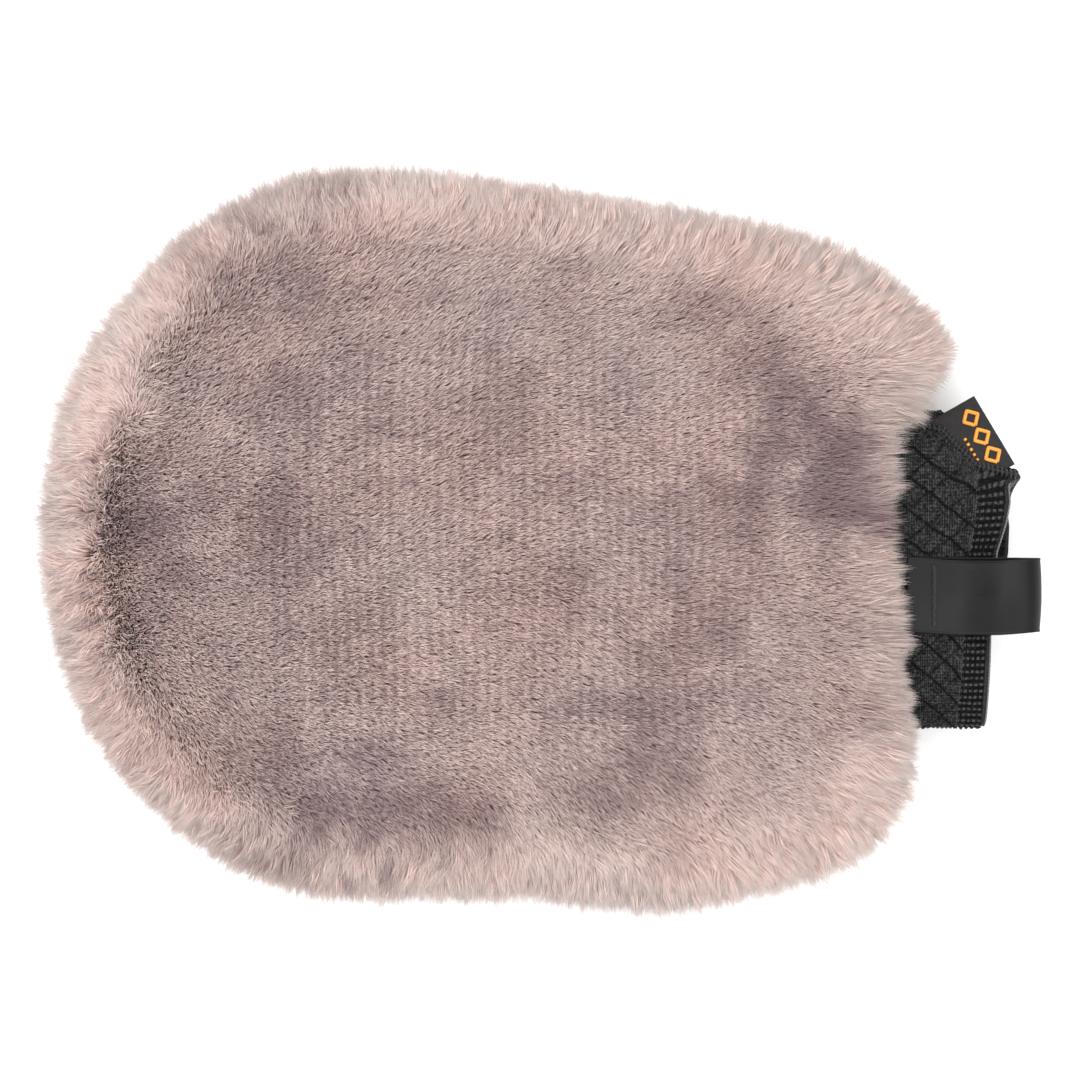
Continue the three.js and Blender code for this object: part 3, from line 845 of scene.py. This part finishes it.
def knit_relief(along, around, rough):
    """Height of the knitted face: a lattice of sunken lines, a welt, and rows of short ribs at the end."""
    u = along / (10.4 * MM) + 0.05 * rough
    v = around / (8.3 * MM) + 0.05 * rough
    lattice = np.maximum(frac_line(u + v, 0.085), 0.5 * frac_line(u - v, 0.07))
    rib = smooth(RIB_FROM - 0.2 * MM, RIB_FROM + 0.4 * MM, along)
    rib_end = smooth(RIB_TO - 0.9 * MM, RIB_TO - 0.5 * MM, along)
    welt = np.exp(-((along - RIB_FROM + 0.4 * MM) / (0.4 * MM)) ** 2)
    row = 0.5 + 0.5 * np.cos(2 * math.pi * around / (1.88 * MM))
    dash = 0.5 + 0.5 * np.cos(2 * math.pi * (along - RIB_FROM) / (1.55 * MM) + 0.5 * rough)
    bumps = smooth(0.35, 0.8, row) * (0.35 + 0.65 * smooth(0.2, 0.7, dash))
    wales = 0.5 + 0.5 * np.cos(2 * math.pi * along / (0.62 * MM))
    courses = 0.5 + 0.5 * np.cos(2 * math.pi * around / (0.86 * MM) + 3.0 * rough)
    stitches = 0.62 * wales * (0.35 + 0.65 * courses) - 0.1
    plain = (stitches - 0.5 * lattice) * (1 - rib)
    return plain + rib * (0.95 * bumps - 0.38 + 0.3 * rib_end) + 0.2 * welt


def knit_material(name, pale, dark, wale=0.45):
    """Black knitting, coloured from the relief attribute: painted highlight on the raised stitches and
    painted shade in the gaps.
    """
    s = Shader(name, roughness=0.85, specular=0.12, sheen=0.04)
    wales = s.wave(FINE / wale, 1.2, 2.0)
    wales.inputs["Detail Scale"].default_value = 2.0
    # The relief height paints the colour: painted highlight where raised, painted shade where sunken
    height = s.attribute("relief")
    mottled = s.math("MULTIPLY_ADD", s.noise(1500.0, 3.0, 0.7), 2.2, -1.34)
    lit = s.math("ADD", s.math("MULTIPLY_ADD", wales.outputs["Fac"], 0.3, height), mottled)
    s.bump(s.math("ADD", wales.outputs["Fac"], mottled), 0.00022, 0.6)
    return s.colour(s.ramp(lit, [(0.05, dark), (0.5, tuple((np.array(pale) + dark) // 2)), (0.95, pale)]))


def thread_material(name, pale, dark, pitch=0.5, roughness=0.7):
    """Twisted yarn: fine slanting plies with a little fuzz."""
    s = Shader(name, roughness=roughness, specular=0.3, sheen=0.1)
    ply = s.wave(FINE / pitch, 2.0, 2.0, "DIAGONAL")
    s.bump(ply.outputs["Fac"], 0.00015, 0.6)
    fuzz = s.noise(1500.0, 3.0)
    return s.colour(s.ramp(s.math("MULTIPLY_ADD", ply.outputs["Fac"], 0.5, s.math("MULTIPLY", fuzz, 0.5)),
                           [(0.2, dark), (0.8, pale)]))


def woven_material(name, pale, dark, pitch, roughness=0.6, specular=0.3, sheen=0.1, depth=0.00012):
    """Plain weave: two crossed sets of yarns, one going over the other by turns."""
    s = Shader(name, roughness=roughness, specular=specular, sheen=sheen)
    yarns = [s.wave(FINE / pitch, 0.6, 1.0, direction).outputs["Fac"] for direction in ("X", "Y")]
    cloth = s.math("MAXIMUM", *yarns)
    s.bump(cloth, depth, 0.6)
    grain = s.noise(700.0, 4.0)
    lit = s.math("MULTIPLY_ADD", cloth, 0.45, s.math("MULTIPLY", grain, 0.6))
    return s.colour(s.ramp(lit, [(0.25, dark), (0.8, pale)]))


def make_cuff():
    """The knitted cuff: outer and inner tubes, its elastics, the cord on its free edge, and its seam."""
    black_knit = knit_material("black_knit", (74, 74, 74), (1, 1, 1))
    angle = np.linspace(0, 2 * math.pi, 900, endpoint=False)
    along = np.linspace(CUFF_ROWS[0, 0], RIB_TO - 1.0 * MM, 104)
    face = cuff_face(along, angle)
    around = round_length(face)
    rough = noise(face, 5 * MM, 71)
    across = face[..., 1] + 0.6 * (face[..., 2] - SEAM_Z)
    relief = knit_relief(np.broadcast_to(along, around.shape), across, rough)
    relief += 0.16 * noise(face, 0.55 * MM, 77) + 0.12 * noise(face, 1.3 * MM, 78)
    normal = grid_normals(face, True)
    normal *= np.sign((normal[len(angle) // 4] * [0, 0, 1]).sum())  # outwards: up on the upper layer
    sag = 0.35 * noise(face, 14 * MM, 72) + 0.25 * noise(face, 6 * MM, 73)
    low_side = smooth(-0.85, -0.97, np.cos(angle))[:, None]
    high_side = smooth(0.85, 0.97, np.cos(angle))[:, None]
    flat_x = np.broadcast_to(along, around.shape)
    frill = 0.5 + 0.5 * np.cos(2 * math.pi * flat_x / (1.7 * MM))
    frayed = low_side * 0.45 * frill + high_side * 0.5 * np.abs(noise(face, 1.1 * MM, 74))
    raised = MM * (0.55 * relief + sag * (1 - low_side) * (1 - high_side) + frayed)
    outer = face + normal * raised[..., None]
    inner = cuff_face(along, angle, KNIT)
    mesh = shell("cuff_knit", outer, inner, wrap_rows=True)
    # The relief also colours the knit: painted highlight on raised stitches, ribs and welt, painted shade in
    # the sunken lines and gaps
    attribute(mesh, "relief", np.concatenate([np.clip(0.4 + 1.05 * relief, 0, 1).ravel(),
                                              np.full(outer.shape[0] * outer.shape[1], 0.3)]))
    knit = new_object("cuff_knit", mesh, black_knit)
    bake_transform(knit)
    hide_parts("cuff_outer_knit")

    turn = angle[::3]
    inset = KNIT + 1.4 * MM
    start = np.linspace(103 * MM, RIB_TO - 1.0 * MM, 60)
    face = cuff_face(start, turn, inset)
    ribs = 0.5 + 0.5 * np.cos(2 * math.pi * round_length(face) / (1.9 * MM))
    lift = grid_normals(face, True) * (0.18 * MM * ribs)[..., None]
    inside = cuff_face(start, turn, inset + KNIT) + lift
    mesh = shell("cuff_lining_knit", face, inside, wrap_rows=True)
    # Painted highlight on the lining's rib crests, painted shade between them
    attribute(mesh, "relief", np.tile(0.2 + 0.3 * ribs.ravel(), 2))
    lining = add(mesh, black_knit, "cuff", "cuff_inner_knit")

    rubber = thread_material("covered_elastic", (84, 84, 84), (40, 40, 40), 0.7)
    for k in range(4):
        place = np.array([RIB_TO - (1.5 + 2.2 * k) * MM])
        path = cuff_face(place, angle[::4], KNIT + 0.7 * MM)[:, 0]
        mesh = tube(f"elastic_{k + 1}", path, 0.4 * MM, closed=True, sides=8)
        add(mesh, rubber, "cuff", f"elastic_thread_{k + 1}")

    rim = cuff_face(np.array([RIB_TO - 1.3 * MM, RIB_TO]), angle[::2], 0.25 * MM)
    rim_in = cuff_face(np.array([RIB_TO - 1.3 * MM, RIB_TO]), angle[::2], 2.9 * MM)
    twist = 0.12 * MM * np.cos(2 * math.pi * round_length(rim) / (1.2 * MM))[..., None]
    mesh = shell("cuff_edge", rim + grid_normals(rim, True) * twist, rim_in, wrap_rows=True)
    dark_edge = thread_material("edge_cord", (40, 40, 40), (14, 14, 14), 0.5)
    add(mesh, dark_edge, "cuff", "cuff_edge_cord")
    # A pale cord only along the upper layer's free edge: a painted highlight where light catches the edge
    front = np.sin(angle) > 0.3
    highlight_path = cuff_face(np.array([RIB_TO - 0.2 * MM]), angle[front], 0.1 * MM)[:, 0] + [0.1 * MM, 0, 0.1 * MM]
    mesh = tube("edge_highlight_cord", highlight_path, 0.24 * MM, sides=8)
    pale = thread_material("edge_highlight_cord", (124, 124, 124), (80, 80, 80), 0.5)
    add(mesh, pale, "cuff")

    side = cuff_face(np.linspace(101.4 * MM, RIB_TO - 0.3 * MM, 320), np.array([0.05]), -0.9 * MM)[0]
    core = tube("seam_core", side, 0.42 * MM, sides=8)
    loops = np.linspace(0, path_length(side)[-1], 1500)
    middle = resampled(side, loops)
    ahead = unit(np.gradient(middle, axis=0))
    out = np.stack([-ahead[:, 1], ahead[:, 0], np.zeros(len(ahead))], -1)
    phase = 2 * math.pi * loops / (1.25 * MM) + 0.8 * noise(middle, 3 * MM, 75)
    size = MM * (0.98 + 0.18 * noise(middle, 2 * MM, 76))
    coil = middle + out * (np.cos(phase) * size)[:, None] + [0, 0, 1] * (np.sin(phase) * size)[:, None]
    mesh = joined("cuff_side_seam_thread", [core, tube("seam_coil", coil, 0.27 * MM, sides=6)])
    black_thread = thread_material("black_thread", (62, 62, 62), (14, 14, 14), 0.4)
    add(mesh, black_thread, "cuff", "cuff_side_seam")
    return black_thread


# ---- hanging loop and label ---------------------------------------------------------------------------

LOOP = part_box("hanging_loop")
RIBBON = 0.7 * MM


def make_loop(black_thread):
    """The satin ribbon folded into a hanging loop, and the tack that holds it."""
    root, fold, base = LOOP[0].x - 5 * MM, LOOP[1].x, LOOP[0].z + 0.05 * MM
    top = LOOP[1].z - 0.2 * MM
    half = RIBBON / 2
    control = np.array([
        [root, base + half], [root + 15 * MM, base + half], [fold - 11 * MM, base + half + 0.1 * MM],
        [fold - 4 * MM, base + 1.3 * MM], [fold - half, (base + top) / 2], [fold - 3.6 * MM, top - 0.9 * MM],
        [fold - 10 * MM, top - 1.0 * MM], [root + 14 * MM, base + 2.6 * MM],
        [root + 4 * MM, base + 1.6 * MM], [root, base + 1.4 * MM],
    ])
    path = open_curve(control, 26)
    even = np.linspace(0, path_length(path)[-1], 190)
    path = resampled(path, even)
    ahead = unit(np.gradient(path, axis=0))
    out = np.stack([-ahead[:, 1], ahead[:, 0]], -1)
    across = np.linspace(-1, 1, 90)
    width = (LOOP[1].y - LOOP[0].y) / 2 - 0.25 * MM
    middle = (LOOP[1].y + LOOP[0].y) / 2 + 0.3 * MM
    share = np.linspace(0, 1, len(path))[:, None]
    selvedge = smooth(0.93, 0.965, np.abs(across)) - 0.8 * smooth(0.975, 1.0, np.abs(across))
    bow = 0.35 * MM * np.sin(math.pi * share) * (across ** 2) * 1.4
    ripple = 0.12 * MM * noise(np.stack(np.broadcast_arrays(share * 0.07, across * 0.01), -1), 9 * MM, 81)
    thick = half * (0.72 + 0.42 * selvedge)[None, :]
    lift = bow + ripple
    narrow = 1 - 0.025 * np.sin(math.pi * share)
    faces = []
    for sign in (1, -1):
        away = (lift + sign * thick)[..., None]
        xz = path[:, None] + out[:, None] * away
        upper = smooth(0.5, 0.7, share) * smooth(1.0, 0.8, share)
        y = middle + across[None] * width * narrow - 0.8 * MM * upper
        faces.append(np.stack([xz[..., 0], y, np.maximum(xz[..., 1], LOOP[0].z)], -1))
    mesh = shell("satin_loop", *faces)
    s = Shader("satin_ribbon", roughness=0.45, specular=0.2)
    s.shader.inputs["Anisotropic"].default_value = 0.5
    picks = s.wave(FINE / 0.32, 0.4, 1.0, "Y")
    s.bump(picks.outputs["Fac"], 0.00005, 0.35)
    tone = s.math("MULTIPLY_ADD", picks.outputs["Fac"], 0.15, s.math("MULTIPLY", s.noise(60.0, 3.0), 0.7))
    satin = s.colour(s.ramp(tone, [(0.25, (14, 13, 14)), (0.75, (22, 21, 22))]))
    loop = new_object("satin_loop", mesh, satin)
    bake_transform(loop)
    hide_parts("hanging_loop")

    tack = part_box("loop_bartack")
    x0, x1 = tack[0].x, tack[1].x
    steps = np.arange(56)
    y = np.linspace(tack[0].y + 0.4 * MM, tack[1].y - 0.4 * MM, len(steps))
    x = np.where(steps % 2, x0 + 0.3 * MM, x1 - 0.9 * MM)
    fine = np.linspace(0, len(steps) - 1, len(steps) * 5)
    zigzag = np.stack([np.interp(fine, steps, x), np.interp(fine, steps, y),
                       tack[0].z + MM * (0.12 + 0.12 * np.abs(np.cos(fine * math.pi / 2)))], -1)
    mesh = tube("loop_tack", zigzag, 0.15 * MM, sides=6)
    add(mesh, black_thread, "loop", "loop_bartack")


LABEL_SEWN = MM * np.array([[104.6, 31.8], [115.3, 13.6]])  # the ends of its sewn edge, inside the cuff
LABEL_FREE = MM * np.array([[117.6, 39.2], [128.7, 20.6]])  # the ends of its folded edge


def label_point(along, across):
    """A point of the label: along its long side and across from the sewn edge, both as shares."""
    sewn = LABEL_SEWN[0] + (LABEL_SEWN[1] - LABEL_SEWN[0]) * np.asarray(along)[..., None]
    free = LABEL_FREE[0] + (LABEL_FREE[1] - LABEL_FREE[0]) * np.asarray(along)[..., None]
    return sewn + (free - sewn) * np.asarray(across)[..., None] + SHIFT


def bend_label(obj):
    """Bakes the object's placement into its mesh."""
    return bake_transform(obj)


def make_label(black_thread):
    """The folded woven label at the cuff's seam, with a plain woven pattern on it and its stitches."""
    low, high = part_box("woven_label")
    along, across = np.meshgrid(np.linspace(0, 1, 110), np.linspace(0.02, 1, 44), indexing="ij")
    flat = label_point(along, across)
    cloth = 0.06 * MM * noise(flat, 5 * MM, 91)
    ends = smooth(0, 0.02, along) * smooth(1, 0.98, along)
    thick = MM * (0.2 + 0.22 * np.sqrt(np.clip(1 - ((across - 0.5) / 0.5) ** 8, 0, 1)) * ends)
    centre = (low.z + high.z) / 2
    front = np.concatenate([flat, (centre + thick + cloth)[..., None]], -1)
    back = np.concatenate([flat, (centre - thick + cloth)[..., None]], -1)
    mesh = shell("sewn_label", front, back)
    black = woven_material("label_cloth", (48, 46, 46), (26, 24, 25), 0.34, roughness=0.7, specular=0.2,
                           sheen=0.0)
    label = bend_label(new_object("sewn_label", mesh, black))
    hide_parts("woven_label")

    # Three open diamonds, and below them a row of small squares
    orange = thread_material("label_pattern", (255, 176, 72), (222, 132, 34), 0.3)
    direction = unit(LABEL_FREE[1] - LABEL_FREE[0])
    inward = np.array([direction[1], -direction[0]])
    height = centre + 0.52 * MM
    strokes = []

    def stroke(points, radius):
        path = np.concatenate([np.asarray(points), np.full((len(points), 1), height)], -1)
        dense = [path[i] + (path[i + 1] - path[i]) * t for i in range(len(path) - 1)
                 for t in np.linspace(0, 1, 8, endpoint=False)]
        strokes.append(tube("stroke", np.array([*dense, path[-1]]), radius, sides=8))

    first = LABEL_FREE[0] + SHIFT + inward * 3.9 * MM + direction * 4.7 * MM
    r, w = 2.3 * MM, 2.2 * MM
    for k in range(3):
        middle = first + direction * k * 5.8 * MM
        stroke([middle + direction * r, middle + inward * w, middle - direction * r, middle - inward * w,
                middle + direction * r], 0.5 * MM)
    for k in range(5):
        spot = first + direction * (4.2 + 1.6 * k) * MM + inward * 4.3 * MM
        stroke([spot - direction * 0.35 * MM, spot + direction * 0.35 * MM], 0.42 * MM)
    mesh = joined("label_pattern", strokes)
    bend_label(new_object("label_pattern", mesh, orange))

    stitches = []
    for k in range(9):
        ends = label_point(np.array([(k + 0.7) / 10, (k + 1.25) / 10]), np.array([0.14, 0.14]))
        mid = ends.mean(0)
        low_z, high_z = centre + 0.35 * MM, centre + 0.6 * MM
        path = np.array([[*ends[0], low_z], [*mid, high_z], [*ends[1], low_z]])
        stitches.append(tube("stitch", open_curve(path, 6), 0.17 * MM, sides=6))
    mesh = joined("label_stitches", stitches)
    obj = bend_label(new_object("label_stitches", mesh, black_thread))
    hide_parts("label_stitching")


# ---- inside the mitt ---------------------------------------------------------------------------------

# The hand pocket's free space: where along the mitt, centre across, half width, half height
POCKET = MM * np.array([
    [-99, 0, 34, 3], [-92, 0, 50, 4.4], [-76, 0, 61, 6.6], [-40, 0, 67, 8], [8, -2, 66, 8.4],
    [50, -5, 58, 8.6], [76, -7, 50, 8.6], [89, -7.4, 47, 8.6],
])
LINING = 1.2 * MM


def pocket_face(along, angle, grow):
    """Points of the hand pocket's wall, moved out by grow."""
    at, turn = np.broadcast_arrays(along[None, :], angle[:, None])
    middle, half, high = (np.interp(at, POCKET[:, 0], POCKET[:, k]) for k in range(1, 4))
    y = middle + bent(np.cos(turn)) * (half + grow)
    z = SEAM_Z + bent(np.sin(turn)) * (high + grow)
    return np.stack([at - grow * (at < POCKET[0, 0] + 1 * MM) + SHIFT[0], y + SHIFT[1], z], -1)


def make_inside(black_thread):
    """Lining of the hand pocket, the seams between the panels, and the binding round the mouth."""
    cloth = woven_material("lining_cloth", (150, 142, 139), (112, 104, 102), 0.8, roughness=0.9, sheen=0.3)
    along = np.linspace(POCKET[0, 0], POCKET[-1, 0], 150)
    gap = 0.004  # half the gap between the two linings at the sides, as an angle
    for name, node, start in (("top_lining", "top_lining_panel", 0.0),
                              ("bottom_lining", "bottom_lining_panel", math.pi)):
        angle = np.linspace(start + gap, start + math.pi - gap, 120)
        outer = pocket_face(along, angle, LINING * 0.9)
        inner = pocket_face(along, angle, LINING * 0.25)
        tuck = 0.8 * MM * np.abs(noise(outer, 18 * MM, 95)) + 0.3 * MM * np.abs(noise(outer, 7 * MM, 96))
        inward = unit(inner - outer) * (tuck * np.sin(np.linspace(0, math.pi, 120))[:, None])[..., None]
        mesh = shell(name, outer + 0.4 * inward, inner + inward)
        panel = add(mesh, cloth, "mitt", node)

    seam_thread = thread_material("seam_thread", (168, 150, 146), (120, 102, 100), 0.5)
    outline = closed_curve(BODY_OUTLINE, 900)
    inset = BODY_CENTRE + (outline - BODY_CENTRE) * 0.9 + SHIFT
    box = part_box("plush_seam_allowance")
    away = (inset[:, 0] < box[1].x - 3 * MM) | (np.abs(inset[:, 1] - MOUTH_Y) > MOUTH_HALF_Y + 3 * MM)
    start = np.argmax(~away)
    path = np.roll(inset, -start, 0)[np.roll(away, -start)]
    make_seam("plush_seam", path, 4.4 * MM, 1.7 * MM, seam_thread, "plush_seam_allowance")
    rows = POCKET[:-1]
    sides = [np.stack([rows[:, 0], rows[:, 1] + sign * (rows[:, 2] + 3.0 * MM)], -1) for sign in (-1, 1)]
    path = open_curve(np.concatenate([sides[0][::-1], sides[1]]), 26) + SHIFT
    path = path + np.array([-1.5 * MM, 0]) * (path[:, :1] < -90 * MM)
    make_seam("lining_seam", path, 2.6 * MM, 1.2 * MM, seam_thread, "lining_seam_allowance")

    angle = np.linspace(0, 2 * math.pi, 480, endpoint=False)
    low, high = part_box("mouth_binding_tape")
    across = np.linspace(low.x, high.x, 26)
    half, tall = (high.y - low.y) / 2, (high.z - low.z) / 2

    def ring(inset, at):
        turn = angle[:, None]
        y = MOUTH_Y + bent(np.cos(turn)) * (half - inset)
        z = SEAM_Z + bent(np.sin(turn)) * (tall - inset)
        return np.stack(np.broadcast_arrays(at[None, :], y, z), -1)

    rounding = 0.25 * MM * ((across - across.mean()) / (across[-1] - across.mean())) ** 6
    ridges = 0.06 * MM * np.cos(2 * math.pi * round_length(ring(0, across)) / (1.1 * MM))
    mesh = shell("mouth_tape", ring(rounding[None] + 0.06 * MM + ridges, across),
                 ring(0.85 * MM - rounding[None], across), wrap_rows=True)
    tape_cloth = woven_material("binding_tape", (40, 39, 39), (12, 12, 12), 0.6, roughness=0.9, specular=0.1)
    add(mesh, tape_cloth, "mitt", "mouth_binding_tape")
    low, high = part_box("mouth_stitching")
    run = ring(1.05 * MM, np.array([(low.x + high.x) / 2]))[:, 0]
    stitches = []
    for k in range(0, 480, 8):
        part = run[k:k + 6].copy()
        toward = unit(np.array([0, MOUTH_Y, SEAM_Z]) - part * [0, 1, 1])
        part += toward * (0.2 * MM * np.sin(np.linspace(0, math.pi, len(part))))[:, None]
        stitches.append(tube("stitch", part, 0.2 * MM, sides=6))
    mesh = joined("mouth_stitches", stitches)
    add(mesh, black_thread, "mitt", "mouth_stitching")


def make_seam(name, path, width, thick, material, node):
    """The sewn edges of two cloths, laid together and overlocked."""
    length = path_length(path)[-1]
    even = np.linspace(0, length, int(length / (0.5 * MM)))
    path = resampled(path, even)
    ahead = unit(np.gradient(path, axis=0))
    side = np.stack([-ahead[:, 1], ahead[:, 0]], -1)
    turn = np.linspace(0, 2 * math.pi, 20, endpoint=False)
    loops = 0.12 * MM * np.cos(2 * math.pi * even / (2.4 * MM))[:, None]
    across = bent(np.cos(turn)) * (width / 2 + loops)
    height = bent(np.sin(turn)) * (thick / 2 + loops)
    xy = path[:, None] + side[:, None] * across[..., None]
    points = np.concatenate([xy, (SEAM_Z + height)[..., None]], -1)
    mesh = capped(name, points, points[[0, -1]].mean(1))
    add(mesh, material, "mitt", node)


make_pile()
make_backing()
thread = make_cuff()
make_loop(thread)
make_label(thread)
make_inside(thread)

# ---- stage, light and camera -----------------------------------------------------------------------------


def make_stage():
    mesh = mesh_from("floor", [(-3, -3, 0), (3, -3, 0), (3, 3, 0), (-3, 3, 0)], [[0, 1, 2, 3]])
    s = Shader("floor", roughness=0.9, specular=0.1)
    obj = bpy.data.objects.new("floor", mesh)
    bpy.context.scene.collection.objects.link(obj)
    mesh.materials.append(s.colour(s.ramp(s.noise(3.0), [(0.4, (250, 250, 250)), (0.6, (252, 252, 252))])))
    world = bpy.data.worlds.new("studio")
    bpy.context.scene.world = world
    world.use_nodes = True
    world.node_tree.nodes["Background"].inputs["Color"].default_value = (1, 1, 1, 1)
    world.node_tree.nodes["Background"].inputs["Strength"].default_value = 0.85
    for name, place, size, power in (
        ("key", (-0.5, 0.5, 1.1), 0.9, 9.0),
        ("fill", (0.6, -0.6, 1.0), 1.2, 7.0),
        ("overhead", (0.0, 0.0, 1.5), 1.6, 12.0),
    ):
        data = bpy.data.lights.new(name, "AREA")
        data.size = size
        data.energy = power
        light = bpy.data.objects.new(name, data)
        light.location = place
        light.rotation_euler = (Vector((0, 0, 0.02)) - Vector(place)).to_track_quat("-Z", "Y").to_euler()
        bpy.context.scene.collection.objects.link(light)


def make_camera():
    """Straight above the mitt, with the cuff to the right."""
    lens, sensor, seen = 85.0, 36.0, 0.2919
    data = bpy.data.cameras.new("camera")
    data.lens = lens
    data.sensor_width = sensor
    data.clip_start = 0.01
    camera = bpy.data.objects.new("camera", data)
    camera.location = (-0.3 * MM, -0.5 * MM, 25 * MM + seen * lens / sensor)
    bpy.context.scene.collection.objects.link(camera)
    bpy.context.scene.camera = camera
    bpy.context.scene.view_settings.view_transform = "Standard"


make_stage()
make_camera()
